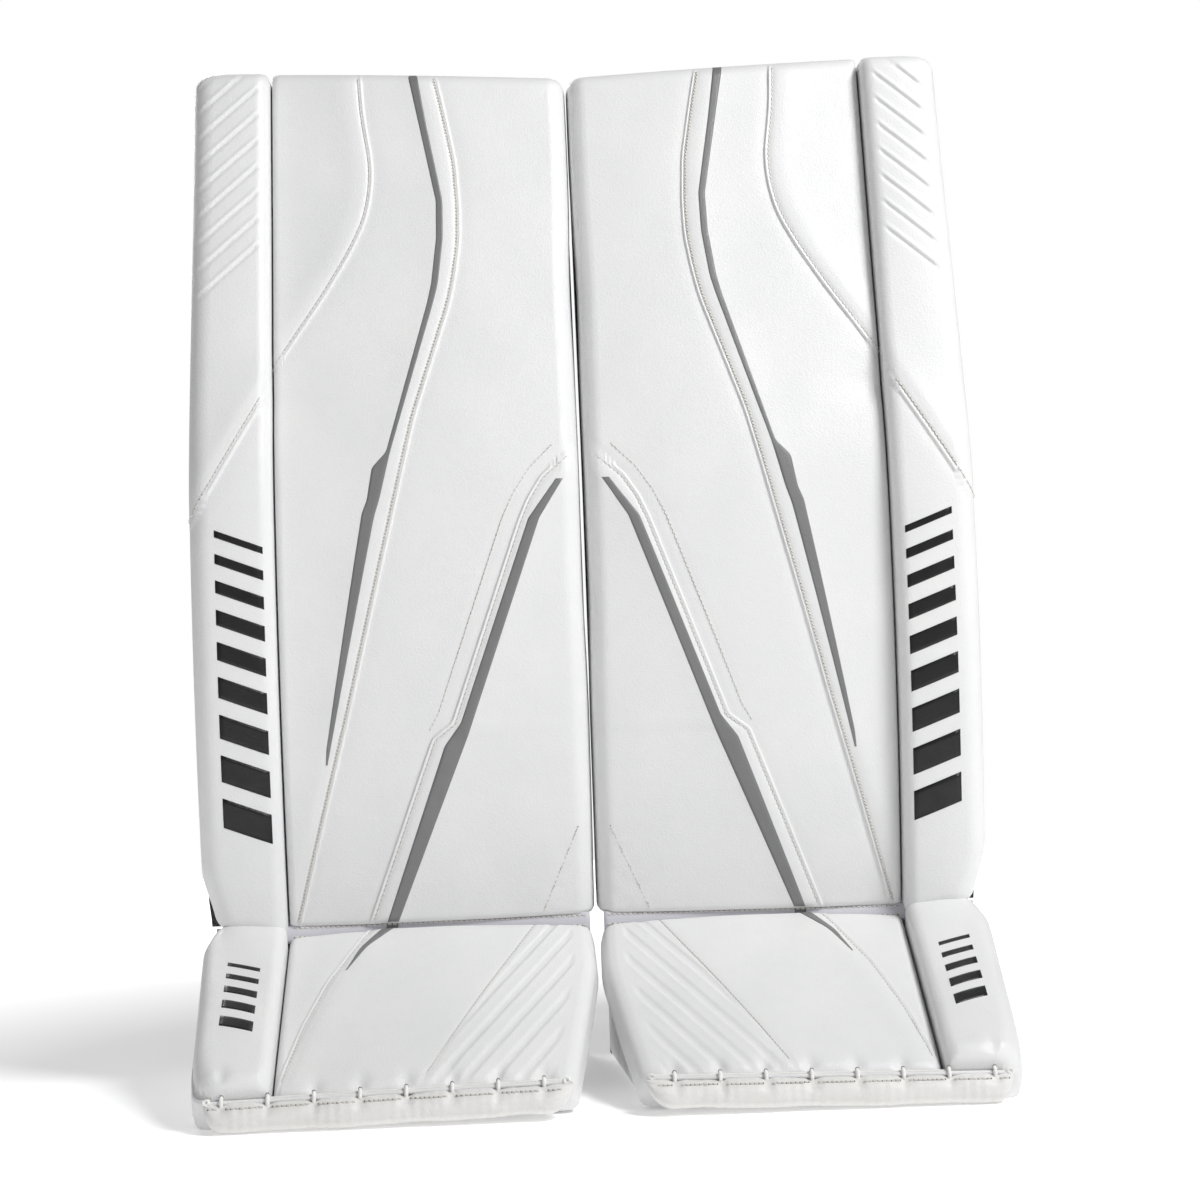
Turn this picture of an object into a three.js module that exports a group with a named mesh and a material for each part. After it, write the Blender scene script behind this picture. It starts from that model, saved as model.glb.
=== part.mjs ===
// A pair of ice hockey goalie leg pads, standing upright side by side.
// Millimetres, +Z up. The faces look along -Y, and x = 0 is the plane midway between the pads.
// One pad is built with its inner edge at x = 0 and its outer roll on the +X side.
// The other pad is the same pad mirrored.
import * as THREE from "three";

// Driving dimensions of one pad.
const PAD_WIDTH = 280;
const PAD_HEIGHT = 744;
const HALF_GAP = 2;
const SEAM_X = 220;
const ROLL_PROUD = 18;
const BACK_DEPTH = 47;
const SKIN = 2.2;
const CLEARANCE = 0.4;

// Side line of the face: a bowed shin, a short bend at the knee and a thigh that leans back.
const SHIN_BOW = 5.1e-4;
const SHIN_MID = 300;
const KNEE_START = 412;
const KNEE_END = 470;
const THIGH_SLOPE = 0.294;
const LEG_BOTTOM = 114;
const LEVEL = 32;

// Boot: a sloping slab from the ankle break down to the toe roll.
const BREAK_FRONT = { y: 18, z: 107.5 };
const BOOT_SLOPE = THREE.MathUtils.degToRad(27.2);
const BOOT_LENGTH = 184;
const BOOT_THICK = 24;
const BOOT_ROLL_CUT = 0.65;
const BOOT_TAPER_START = 20;
const BOOT_TAPER = 19;
const TOE_ROLL_RADIUS = 10.5;
const TOE_ROLL_Y = -152;
const TOE_ROLL_X = [22, 264];
const HEEL_Y = 98;
const WALL_TOE_Y = -120;
const WALL_HEIGHT = 90;
const INNER_WALL_LEAN = 16;

// Leg channel and straps: heights of the pieces are [low, high].
const WING_THICK = 15;
const KNEE_WING_THICK = 13;
const CALF_Z = [165, 350];
const KNEE_WING_Z = [426, 516];
const SHIN_CUSHION_Z = [150, 385];
const KNEE_PAD_Z = [422, 540];
const KNEE_BLOCK_Z = [418, 500];
const ANKLE_TAB_Z = [104, 160];
const CALF_TIP_DEPTH = 160;
const KNEE_TIP_DEPTH = 122;
const WEB = 2.8;
const STRAP_WIDTH = 38;
const CALF_STRAP_Z = 255;
const KNEE_STRAP_Z = 471;
const BOOT_STRAP_Z = 75;
const BUCKLE = { width: 56, thickness: 8, height: 46 };
const TOE_STRAP_X = 128;
const TOE_STRAP_WIDTH = 26;
const LACE_LOOPS = 9;
const LACE_DIAMETER = 2.4;

// Materials: colour, roughness and metalness.
const FINISHES = {
  leather: { color: 0xf1f1ef, roughness: 0.42, metalness: 0 },
  foam: { color: 0xd9d6cc, roughness: 0.9, metalness: 0 },
  board: { color: 0x3a3c40, roughness: 0.5, metalness: 0 },
  liner: { color: 0x17181a, roughness: 0.85, metalness: 0 },
  webbing: { color: 0x101113, roughness: 0.75, metalness: 0 },
  plastic: { color: 0x1b1c1f, roughness: 0.4, metalness: 0 },
  lace: { color: 0xf7f7f5, roughness: 0.6, metalness: 0 },
};

// Turns a side view (y, z) that was extruded along Z so that it is extruded along X.
const SIDE_VIEW = new THREE.Matrix4().makeBasis(
  new THREE.Vector3(0, 1, 0),
  new THREE.Vector3(0, 0, 1),
  new THREE.Vector3(1, 0, 0),
);

// Depth of the face at height z, measured along +Y, on the smooth side line.
function smoothFaceY(z) {
  const kneeSlope = 2 * SHIN_BOW * (KNEE_START - SHIN_MID);
  const bend = (THIGH_SLOPE - kneeSlope) / (2 * (KNEE_END - KNEE_START));
  const inShin = Math.min(z, KNEE_START) - SHIN_MID;
  const inKnee = THREE.MathUtils.clamp(z, KNEE_START, KNEE_END) - KNEE_START;
  const inThigh = Math.max(z, KNEE_END) - KNEE_END;
  return SHIN_BOW * inShin ** 2 + kneeSlope * inKnee + bend * inKnee ** 2 + THIGH_SLOPE * inThigh;
}

// The side line as straight facets between fixed levels, so that every layer stays parallel.
function faceY(z) {
  const below = Math.floor(z / LEVEL) * LEVEL;
  return THREE.MathUtils.lerp(smoothFaceY(below), smoothFaceY(below + LEVEL), (z - below) / LEVEL);
}

// An outline in plan (x, depth behind the face), raised from z[0] to z[1] along the side line.
function upright(outline, z) {
  const levels = [z[0]];
  for (let h = (Math.floor(z[0] / LEVEL) + 1) * LEVEL; h < z[1]; h += LEVEL) levels.push(h);
  levels.push(z[1]);
  const steps = levels.length - 1;
  const geometry = new THREE.ExtrudeGeometry(new THREE.Shape(outline), {
    depth: steps,
    steps,
    bevelEnabled: false,
  });
  const position = geometry.getAttribute("position");
  for (let i = 0; i < position.count; i++) {
    const height = levels[Math.round(position.getZ(i))];
    position.setY(i, position.getY(i) + faceY(height));
    position.setZ(i, height);
  }
  geometry.computeVertexNormals();
  return geometry;
}

// A plain slab that follows the face: x, depth and z are [low, high].
function slab(x, depth, z) {
  return upright(rectangle(x, depth), z);
}

function rectangle(a, b) {
  return [
    new THREE.Vector2(a[0], b[0]),
    new THREE.Vector2(a[1], b[0]),
    new THREE.Vector2(a[1], b[1]),
    new THREE.Vector2(a[0], b[1]),
  ];
}

// A rectangle whose corners are quarter circles of the radii given, in the order
// low-low, high-low, high-high, low-high.
function roundedRectangle(a, b, radii) {
  const corners = [
    [a[0], b[0], 1, 1, Math.PI],
    [a[1], b[0], -1, 1, 1.5 * Math.PI],
    [a[1], b[1], -1, -1, 0],
    [a[0], b[1], 1, -1, 0.5 * Math.PI],
  ];
  return corners.flatMap(([x, y, towardX, towardY, start], i) => {
    const radius = radii[i];
    const segments = radius > 5 ? 4 : 2;
    return Array.from({ length: segments + 1 }, (_, k) => {
      const angle = start + (k / segments) * (Math.PI / 2);
      return new THREE.Vector2(
        x + towardX * radius + radius * Math.cos(angle),
        y + towardY * radius + radius * Math.sin(angle),
      );
    });
  });
}

// A strip of constant thickness along a centre line, as a closed outline.
function strip(line, thickness) {
  const sides = line.map((point, i) => {
    const along = line[Math.min(i + 1, line.length - 1)].clone().sub(line[Math.max(i - 1, 0)]);
    return new THREE.Vector2(-along.y, along.x).setLength(thickness / 2);
  });
  const left = line.map((point, i) => point.clone().add(sides[i]));
  const right = line.map((point, i) => point.clone().sub(sides[i]));
  return left.concat(right.reverse());
}

// The thin leather skin round a roll: inner wall, front, outer wall, seen in plan.
// front and back are depths, and the skin lies inside the outline of the finished roll.
function rollSkin(inner, outer, front, wallEnd, back) {
  const radius = 14;
  const point = (x, y) => new THREE.Vector2(x, y);
  const corner = (x, y, start) =>
    [0, 1, 2, 3, 4].map((k) => {
      const angle = start + (k / 4) * (Math.PI / 2);
      const r = radius - SKIN / 2;
      return point(x + r * Math.cos(angle), y + r * Math.sin(angle));
    });
  const line = [
    point(inner + SKIN / 2, wallEnd),
    ...corner(inner + radius, front + radius, Math.PI),
    ...corner(outer - radius, front + radius, 1.5 * Math.PI),
    point(outer - SKIN / 2, back),
  ];
  return strip(line, SKIN);
}

function mesh(name, finish, geometry) {
  const made = new THREE.Mesh(geometry, new THREE.MeshStandardMaterial(FINISHES[finish]));
  made.name = name;
  return made;
}

// A wing that runs back from the pad beside the leg and curls behind it, seen in plan.
// wallX is the middle of its wall, tipX and tipDepth the end of its curled flap.
function wingOutline(wallX, startDepth, tipX, tipDepth, thickness) {
  const turn = 34;
  const toward = Math.sign(tipX - wallX);
  const line = [new THREE.Vector2(wallX, startDepth)];
  for (let k = 0; k <= 5; k++) {
    const angle = (k / 5) * (Math.PI / 2);
    const x = wallX + toward * turn * (1 - Math.cos(angle));
    line.push(new THREE.Vector2(x, tipDepth - turn + turn * Math.sin(angle)));
  }
  line.push(new THREE.Vector2(tipX, tipDepth));
  return strip(line, thickness);
}

// Everything of the leg: the one-piece core from ankle to thigh with its skins and cushions.
function legMeshes(side) {
  const leg = new THREE.Group();
  const z = [LEG_BOTTOM, PAD_HEIGHT];
  const coreFront = SKIN + CLEARANCE;
  const coreBack = 41;
  const boardBack = BACK_DEPTH - 2.6;
  const rollX = [SEAM_X + SKIN + CLEARANCE, PAD_WIDTH - SKIN - CLEARANCE];
  const rollFront = -ROLL_PROUD + SKIN + CLEARANCE;
  const linerDepth = [BACK_DEPTH, BACK_DEPTH + SKIN];
  const cushionDepth = linerDepth[1] + CLEARANCE;
  // The bottom of the leg rises toward its back, which leaves room for the boot to flex.
  const coreZ = [LEG_BOTTOM + 4, PAD_HEIGHT - SKIN];
  const backZ = [LEG_BOTTOM + 12, PAD_HEIGHT - 8];

  leg.add(
    mesh(`${side}_main_core`, "foam", slab([4, SEAM_X - CLEARANCE], [coreFront, coreBack], coreZ)),
    mesh(`${side}_stiffener_board`, "board", slab([10, 214], [coreBack + CLEARANCE, boardBack], backZ)),
    mesh(`${side}_face_cover`, "leather", slab([1, SEAM_X - CLEARANCE], [0, SKIN], z)),
    mesh(`${side}_side_panel`, "leather", slab([1, 1 + SKIN], [coreFront, boardBack], coreZ)),
    mesh(`${side}_back_liner`, "liner", slab([4, PAD_WIDTH - 6], linerDepth, backZ)),
  );

  const rollCore = roundedRectangle(rollX, [rollFront, boardBack], [11, 11, 2, 2]);
  const rollCover = rollSkin(SEAM_X, PAD_WIDTH, -ROLL_PROUD, -1, boardBack);
  leg.add(
    mesh(`${side}_roll_core`, "foam", upright(rollCore, [LEG_BOTTOM + 6, PAD_HEIGHT + 1])),
    mesh(`${side}_roll_cover`, "leather", upright(rollCover, [LEG_BOTTOM, PAD_HEIGHT + 4])),
  );

  const shinPad = roundedRectangle([86, 196], [cushionDepth, 65], [2, 2, 8, 8]);
  const kneePad = roundedRectangle([84, 238], [cushionDepth, 64], [2, 2, 8, 8]);
  const kneeBlock = roundedRectangle([8, 76], [cushionDepth, 124], [2, 2, 10, 10]);
  const calfWrap = wingOutline(20, cushionDepth, 84, CALF_TIP_DEPTH, WING_THICK);
  leg.add(
    mesh(`${side}_shin_cushion`, "liner", upright(shinPad, SHIN_CUSHION_Z)),
    mesh(`${side}_knee_pad`, "liner", upright(kneePad, KNEE_PAD_Z)),
    mesh(`${side}_knee_block`, "liner", upright(kneeBlock, KNEE_BLOCK_Z)),
    mesh(`${side}_calf_wrap_inner`, "liner", upright(calfWrap, CALF_Z)),
    mesh(`${side}_ankle_tab`, "webbing", slab([258, 271], [cushionDepth, cushionDepth + WEB], ANKLE_TAB_Z)),
  );
  return leg;
}

// The outer wings, each a curled panel that hinges on the outer rear edge of the pad.
function wingMeshes(side) {
  const start = BACK_DEPTH + SKIN + 2.5;
  const calf = wingOutline(260, start, 196, CALF_TIP_DEPTH, WING_THICK);
  const knee = wingOutline(256, start, 204, KNEE_TIP_DEPTH, KNEE_WING_THICK);
  return [
    mesh(`${side}_calf_wing`, "liner", upright(calf, CALF_Z)),
    mesh(`${side}_knee_wing`, "liner", upright(knee, KNEE_WING_Z)),
  ];
}

// Low and high edge of a strap whose middle is at height z.
function strapZ(z) {
  return [z - STRAP_WIDTH / 2, z + STRAP_WIDTH / 2];
}

// Webbing straps that close the back of the leg channel and of the boot.
function strapMeshes(side) {
  const calfDepth = CALF_TIP_DEPTH + WING_THICK / 2 + 2 * CLEARANCE;
  const kneeDepth = KNEE_TIP_DEPTH + KNEE_WING_THICK / 2 + 2 * CLEARANCE;
  const heel = HEEL_Y + 2;
  const bootStrap = new THREE.BoxGeometry(266, WEB, STRAP_WIDTH);
  bootStrap.translate(141, heel + WEB / 2, BOOT_STRAP_Z);
  const buckle = new THREE.BoxGeometry(BUCKLE.width, BUCKLE.thickness, BUCKLE.height);
  buckle.translate(60, heel + WEB + CLEARANCE + BUCKLE.thickness / 2, BOOT_STRAP_Z);
  const calf = slab([22, 231], [calfDepth, calfDepth + WEB], strapZ(CALF_STRAP_Z));
  const knee = slab([22, 226], [kneeDepth, kneeDepth + WEB], strapZ(KNEE_STRAP_Z));
  return [
    mesh(`${side}_calf_strap`, "webbing", calf),
    mesh(`${side}_knee_strap`, "webbing", knee),
    mesh(`${side}_boot_strap`, "webbing", bootStrap),
    mesh(`${side}_boot_buckle`, "plastic", buckle),
  ];
}

// Inner edge of the boot at a distance s down its slope: it tapers outward toward the toe.
function bootInner(s) {
  return (BOOT_TAPER * Math.max(0, s - BOOT_TAPER_START)) / (BOOT_LENGTH - BOOT_TAPER_START);
}

// A slab of the boot between two depths, with its inner edge inset from the tapered edge.
function bootSlab(inset, depth, length) {
  const outline = [
    new THREE.Vector2(inset, 0),
    new THREE.Vector2(SEAM_X - CLEARANCE, 0),
    new THREE.Vector2(SEAM_X - CLEARANCE, length),
    new THREE.Vector2(inset + bootInner(length), length),
    new THREE.Vector2(inset + bootInner(BOOT_TAPER_START), BOOT_TAPER_START),
  ];
  const geometry = new THREE.ExtrudeGeometry(new THREE.Shape(outline), {
    depth: depth[1] - depth[0],
    bevelEnabled: false,
  });
  return geometry.translate(0, 0, depth[0]);
}

// A section (x, height above the boot's face) drawn out down the boot's slope.
// Its upper end is cut on a slant, so that its front edge is level with its back edge.
function downBoot(outline, from, to) {
  const geometry = new THREE.ExtrudeGeometry(new THREE.Shape(outline), {
    depth: 1,
    bevelEnabled: false,
  });
  geometry.rotateX(-Math.PI / 2);
  const position = geometry.getAttribute("position");
  for (let i = 0; i < position.count; i++) {
    const start = from + BOOT_ROLL_CUT * (BOOT_THICK - position.getZ(i));
    position.setY(i, position.getY(i) < 0.5 ? start : to);
  }
  geometry.computeVertexNormals();
  return geometry;
}

// The upper boot, in the frame of its own slope: X across, Y down the slope, Z into the boot.
function bootSlope(side) {
  const slope = new THREE.Group();
  slope.position.set(0, BREAK_FRONT.y, BREAK_FRONT.z);
  slope.rotation.x = Math.PI + BOOT_SLOPE;
  const coreFront = SKIN + CLEARANCE;
  const rollHeight = 16;
  const coreX = [SEAM_X + SKIN + CLEARANCE, 276 - SKIN - CLEARANCE];
  const core = roundedRectangle(coreX, [-BOOT_THICK, rollHeight - coreFront], [2, 2, 11, 11]);
  const skin = rollSkin(SEAM_X, 276, -rollHeight, -1, BOOT_THICK).map((p) => new THREE.Vector2(p.x, -p.y));
  slope.add(
    mesh(`${side}_boot_core`, "foam", bootSlab(4, [coreFront, BOOT_THICK], BOOT_LENGTH)),
    mesh(`${side}_boot_cover`, "leather", bootSlab(1, [0, SKIN], BOOT_LENGTH)),
    mesh(`${side}_boot_roll_core`, "foam", downBoot(core, 2, BOOT_LENGTH - 2)),
    mesh(`${side}_boot_roll_cover`, "leather", downBoot(skin.reverse(), 0, BOOT_LENGTH - 1)),
  );
  return slope;
}

// A side wall of the boot: a plate on the floor whose top edge runs under the sloping boot.
function bootWall(x, thickness, lean) {
  const under = (y) => {
    const drop = (BOOT_THICK + 1) / Math.cos(BOOT_SLOPE);
    return BREAK_FRONT.z - drop + (y - BREAK_FRONT.y) * Math.tan(BOOT_SLOPE);
  };
  const outline = [
    new THREE.Vector2(WALL_TOE_Y, 0),
    new THREE.Vector2(HEEL_Y, 0),
    new THREE.Vector2(HEEL_Y, 78),
    new THREE.Vector2(66, WALL_HEIGHT),
    new THREE.Vector2(36, WALL_HEIGHT),
    new THREE.Vector2(28, under(28)),
    new THREE.Vector2(WALL_TOE_Y, under(WALL_TOE_Y)),
  ];
  const geometry = new THREE.ExtrudeGeometry(new THREE.Shape(outline), {
    depth: thickness,
    bevelEnabled: false,
  });
  geometry.applyMatrix4(SIDE_VIEW).translate(x, 0, 0);
  const position = geometry.getAttribute("position");
  for (let i = 0; i < position.count; i++) {
    position.setX(i, position.getX(i) + lean * (HEEL_Y - position.getY(i)));
  }
  geometry.computeVertexNormals();
  return geometry;
}

// The lace that whips the boot to the toe roll: it runs in the groove and stands out in loops.
function toeLacing() {
  const points = [];
  const first = TOE_ROLL_X[0] + 12;
  const pitch = (TOE_ROLL_X[1] - 12 - first) / (LACE_LOOPS - 1);
  const groove = { y: TOE_ROLL_Y - 1.7, z: 22.9 };
  for (let i = 0; i < LACE_LOOPS; i++) {
    const x = first + i * pitch;
    points.push(new THREE.Vector3(x - 4, groove.y, groove.z));
    points.push(new THREE.Vector3(x, groove.y - 2.6, groove.z + 2.6));
    points.push(new THREE.Vector3(x + 4, groove.y, groove.z));
  }
  const section = new THREE.Shape(
    Array.from({ length: 6 }, (_, k) => {
      const angle = (k / 6) * 2 * Math.PI;
      return new THREE.Vector2(Math.cos(angle), Math.sin(angle)).multiplyScalar(LACE_DIAMETER / 2);
    }),
  );
  return new THREE.ExtrudeGeometry(section, {
    steps: 70,
    extrudePath: new THREE.CatmullRomCurve3(points),
    bevelEnabled: false,
  });
}

// The toe strap hangs from the bridge under the boot and lies back along the floor.
function toeStrap() {
  const line = [
    new THREE.Vector2(-57, 20),
    new THREE.Vector2(-30, 14),
    new THREE.Vector2(10, 3.4),
    new THREE.Vector2(42, 1.6),
  ];
  const geometry = new THREE.ExtrudeGeometry(new THREE.Shape(strip(line, WEB)), {
    depth: TOE_STRAP_WIDTH,
    bevelEnabled: false,
  });
  return geometry.applyMatrix4(SIDE_VIEW).translate(TOE_STRAP_X, 0, 0);
}

// Everything below the boot's slope: toe roll, lacing, walls, bridge and toe strap.
function bootMeshes(side) {
  const rollLength = TOE_ROLL_X[1] - TOE_ROLL_X[0] - 2 * TOE_ROLL_RADIUS;
  const roll = new THREE.CapsuleGeometry(TOE_ROLL_RADIUS, rollLength, 5, 16)
    .rotateZ(Math.PI / 2)
    .translate((TOE_ROLL_X[0] + TOE_ROLL_X[1]) / 2, TOE_ROLL_Y, TOE_ROLL_RADIUS);
  const lean = INNER_WALL_LEAN / (HEEL_Y - WALL_TOE_Y);
  const bridge = new THREE.BoxGeometry(246, 25, 3).translate(147, -57.5, 27.5);
  const hook = new THREE.BoxGeometry(22, 16, 5).translate(141, 51.5, 2.6);
  const gusset = slab([6, PAD_WIDTH - 8], [9, 9 + SKIN], [LEG_BOTTOM - 6.5, LEG_BOTTOM + 3]);
  return [
    mesh(`${side}_toe_roll`, "leather", roll),
    mesh(`${side}_toe_lacing`, "lace", toeLacing()),
    mesh(`${side}_boot_wall_inner`, "liner", bootWall(6, 4, lean)),
    mesh(`${side}_boot_wall_outer`, "liner", bootWall(272, 4, 0)),
    mesh(`${side}_toe_bridge`, "webbing", bridge),
    mesh(`${side}_ankle_gusset`, "leather", gusset),
    mesh(`${side}_toe_strap`, "webbing", toeStrap()),
    mesh(`${side}_toe_hook`, "plastic", hook),
  ];
}

function pad(side) {
  const group = new THREE.Group();
  group.add(legMeshes(side), bootSlope(side));
  group.add(...wingMeshes(side), ...strapMeshes(side), ...bootMeshes(side));
  return group;
}

// The pair: the goalie's left pad on +X, and the right pad as its mirror image.
const pair = new THREE.Group();
const left = pad("left");
const right = pad("right");
left.position.x = HALF_GAP;
right.position.x = -HALF_GAP;
right.scale.x = -1;
pair.add(left, right);

// The origin is on the floor, below the middle of the pair's box.
const box = new THREE.Box3().setFromObject(pair);
pair.position.y = -(box.min.y + box.max.y) / 2;

export default pair;
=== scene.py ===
"""Looks of a pair of ice hockey goalie leg pads that stand upright, side by side.

Shapes are worked out in millimetres in the axes of one pad: u runs from its inner edge to its outer
roll, y back from the foremost line of the shin and z up from the floor. place() turns them into metres
in the frame's axes, and the right pad is the left pad mirrored.
"""
import math

import bpy
import numpy as np
from mathutils import Matrix, Vector


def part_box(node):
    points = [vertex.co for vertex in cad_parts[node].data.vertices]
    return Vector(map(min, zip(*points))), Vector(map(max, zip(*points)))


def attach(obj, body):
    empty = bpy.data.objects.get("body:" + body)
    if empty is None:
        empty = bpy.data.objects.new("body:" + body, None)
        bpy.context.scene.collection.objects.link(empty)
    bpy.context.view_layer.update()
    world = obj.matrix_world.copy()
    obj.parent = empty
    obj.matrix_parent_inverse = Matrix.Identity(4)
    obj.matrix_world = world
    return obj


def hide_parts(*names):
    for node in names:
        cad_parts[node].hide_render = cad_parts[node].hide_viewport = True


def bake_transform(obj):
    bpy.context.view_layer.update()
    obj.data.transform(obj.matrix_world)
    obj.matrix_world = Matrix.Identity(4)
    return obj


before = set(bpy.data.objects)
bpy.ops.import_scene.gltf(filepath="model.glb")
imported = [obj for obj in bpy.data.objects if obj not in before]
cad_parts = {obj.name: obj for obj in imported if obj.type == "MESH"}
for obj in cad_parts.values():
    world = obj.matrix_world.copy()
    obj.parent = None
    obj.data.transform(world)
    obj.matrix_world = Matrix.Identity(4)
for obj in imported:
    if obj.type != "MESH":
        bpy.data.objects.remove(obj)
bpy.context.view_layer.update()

MM = 0.001
SIDES = {"left": 1, "right": -1}


def box_mm(node):
    """Lowest and highest corner of a CAD node, in millimetres."""
    low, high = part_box(node)
    return np.array(low) / MM, np.array(high) / MM


# ---------------------------------------------------------------- driving dimensions, from the frame
face_low, face_high = box_mm("left_face_cover")
roll_low, roll_high = box_mm("left_roll_cover")
toe_low, toe_high = box_mm("left_toe_roll")
boot_high = box_mm("left_boot_cover")[1]

EDGE = 1.0                                     # the face starts this far from the pad's own inner line
HALF_GAP = face_low[0] - EDGE
SEAM = roll_low[0] - HALF_GAP                  # where the outer roll is sewn to the face
WIDTH = roll_high[0] - HALF_GAP
TOE_Y = -152.0                                 # the toe roll's centre line in the pad's own axes
SHIFT_Y = (toe_low[1] + toe_high[1]) / 2 - TOE_Y
LEG_LOW = face_low[2]
LEG_HIGH = face_high[2]
ROLL_HIGH = roll_high[2]
ROLL_PROUD = 18.0                              # how far the outer roll stands out past the face
WALL_BACK = 45.5                               # how far the side walls reach behind the face
SHIN_BOW = 5.1e-4                              # how strongly the shin is bowed, per millimetre
SHIN_MID = 300.0                               # height of the foremost point of the shin
KNEE = (412.0, 470.0)                          # heights between which the face bends at the knee
THIGH_SLOPE = 0.294
BREAK_Y = 18.0                                 # the ankle break, where leg and boot meet
BREAK_Z = boot_high[2]
BOOT_SLOPE = math.radians(27.2)
BOOT_LENGTH = 184.0                            # down the boot's slope
BOOT_BACK = 24.0
BOOT_PROUD = 16.0
FLOOR_CLEAR = 0.3                              # no part of the boot comes closer to the floor


def place(points, side):
    """Points (u, y, z) in millimetres in a pad's own axes, as metres in the frame."""
    points = np.asarray(points, float)
    moved = np.empty_like(points)
    moved[..., 0] = SIDES[side] * (HALF_GAP + points[..., 0])
    moved[..., 1] = points[..., 1] + SHIFT_Y
    moved[..., 2] = points[..., 2]
    return moved * MM


# ---------------------------------------------------------------- small functions for shapes
def ramp(x, low, high):
    """0 below low and 1 above high, with a smooth rise between them."""
    t = np.clip((np.asarray(x, float) - low) / (high - low), 0, 1)
    return t * t * (3 - 2 * t)


def bell(x, width):
    """1 at zero, falling off smoothly on both sides over about width."""
    return np.exp(-((np.asarray(x, float) / width) ** 2))


def bent_line(points, soften=2.0):
    """A function of height through (height, u) points, straight between them and rounded at the bends."""
    heights, values = np.array(sorted(points), float).T
    first = (values[1] - values[0]) / (heights[1] - heights[0])
    last = (values[-1] - values[-2]) / (heights[-1] - heights[-2])

    def straight(z):
        inside = np.interp(z, heights, values)
        below = first * np.minimum(z - heights[0], 0)
        return inside + below + last * np.maximum(z - heights[-1], 0)

    def line(z):
        z = np.asarray(z, float)
        return np.mean([straight(z + soften * k / 3) for k in range(-3, 4)], axis=0)

    return line


def slope_of(line, z):
    """How far a line moves outward per millimetre of height."""
    return line(z + 0.5) - line(z - 0.5)


def across(line, u, z):
    """Distance of (u, z) from a line, positive toward the outer roll."""
    return (u - line(z)) / np.sqrt(1 + slope_of(line, z) ** 2)


def face_y(z):
    """The side line of the face: a bowed shin, a bend at the knee and a thigh that leans back."""
    z = np.asarray(z, float)
    knee_slope = 2 * SHIN_BOW * (KNEE[0] - SHIN_MID)
    bend = (THIGH_SLOPE - knee_slope) / (2 * (KNEE[1] - KNEE[0]))
    shin = np.minimum(z, KNEE[0]) - SHIN_MID
    knee = np.clip(z, *KNEE) - KNEE[0]
    thigh = np.maximum(z, KNEE[1]) - KNEE[1]
    return SHIN_BOW * shin**2 + knee_slope * knee + bend * knee**2 + THIGH_SLOPE * thigh


def on_leg(u, out, z):
    """A point that stands out from the leg's side line by out."""
    return np.stack(np.broadcast_arrays(u, face_y(z) - out, z), axis=-1)


def on_boot(u, out, v):
    """A point of the boot: v is minus the distance down its slope, out stands square to the slope."""
    down = -np.asarray(v, float)
    y = BREAK_Y - down * math.cos(BOOT_SLOPE) - out * math.sin(BOOT_SLOPE)
    z = BREAK_Z - down * math.sin(BOOT_SLOPE) + out * math.cos(BOOT_SLOPE)
    return np.stack(np.broadcast_arrays(u, y, np.maximum(z, FLOOR_CLEAR)), axis=-1)


def steps(low, high, step):
    """Evenly spaced values from low to high, no further apart than step."""
    return np.linspace(low, high, max(2, int(math.ceil(abs(high - low) / step)) + 1))


def lengths_along(path):
    """Distance of each point of a path from its start."""
    return np.concatenate([[0], np.cumsum(np.linalg.norm(np.diff(path, axis=0), axis=1))])


def points_at(path, lengths, places):
    """Points of a path at places measured along it."""
    return np.stack([np.interp(places, lengths, column) for column in path.T], axis=-1)


# ---------------------------------------------------------------- meshes
def weld(points, faces):
    """Joins points that coincide and drops faces that collapse."""
    keys, index = np.unique(np.round(points, 4), axis=0, return_inverse=True)
    index = index.ravel()
    kept = []
    for face in faces:
        ring = [int(index[i]) for i in face]
        ring = [v for k, v in enumerate(ring) if v != ring[k - 1]]
        if len(set(ring)) > 2:
            kept.append(ring)
    return keys, kept


def signed_volume(points, faces):
    """Positive where the faces of a closed body point out."""
    fans = [(face[0], face[k], face[k + 1]) for face in faces for k in range(1, len(face) - 1)]
    a, b, c = points[np.array(fans)].transpose(1, 0, 2)
    return float(np.sum(a * np.cross(b, c)))


def new_mesh(name, points, faces, side):
    """A smooth-shaded mesh from points in a pad's own millimetres, with its faces pointing out."""
    points, faces = weld(points, faces)
    metres = place(points, side)
    if signed_volume(metres, faces) < 0:
        faces = [face[::-1] for face in faces]
    data = bpy.data.meshes.new(name)
    data.from_pydata(metres.tolist(), [], faces)
    data.update()
    data.polygons.foreach_set("use_smooth", [True] * len(data.polygons))
    made = bpy.data.objects.new(name, data)
    bpy.context.scene.collection.objects.link(made)
    return made


def grid_faces(rows, columns, closed=False):
    """Quads between neighbouring points of a grid; closed joins its last column to its first."""
    faces = []
    for r in range(rows - 1):
        for c in range(columns if closed else columns - 1):
            a = r * columns + c
            b = r * columns + (c + 1) % columns
            faces.append((a, b, b + columns, a + columns))
    return faces


def sheet_body(front, back):
    """Points and faces of a thin closed body between two grids of the same size."""
    rows, columns = front.shape[:2]
    count = rows * columns
    faces = grid_faces(rows, columns)
    faces += [tuple(i + count for i in face[::-1]) for face in grid_faces(rows, columns)]
    rim = list(range(columns))
    rim += [r * columns + columns - 1 for r in range(1, rows)]
    rim += [(rows - 1) * columns + c for c in range(columns - 2, -1, -1)]
    rim += [r * columns for r in range(rows - 2, 0, -1)]
    for a, b in zip(rim, rim[1:] + rim[:1]):
        faces.append((b, a, a + count, b + count))
    return np.concatenate([front.reshape(-1, 3), back.reshape(-1, 3)]), faces


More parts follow.
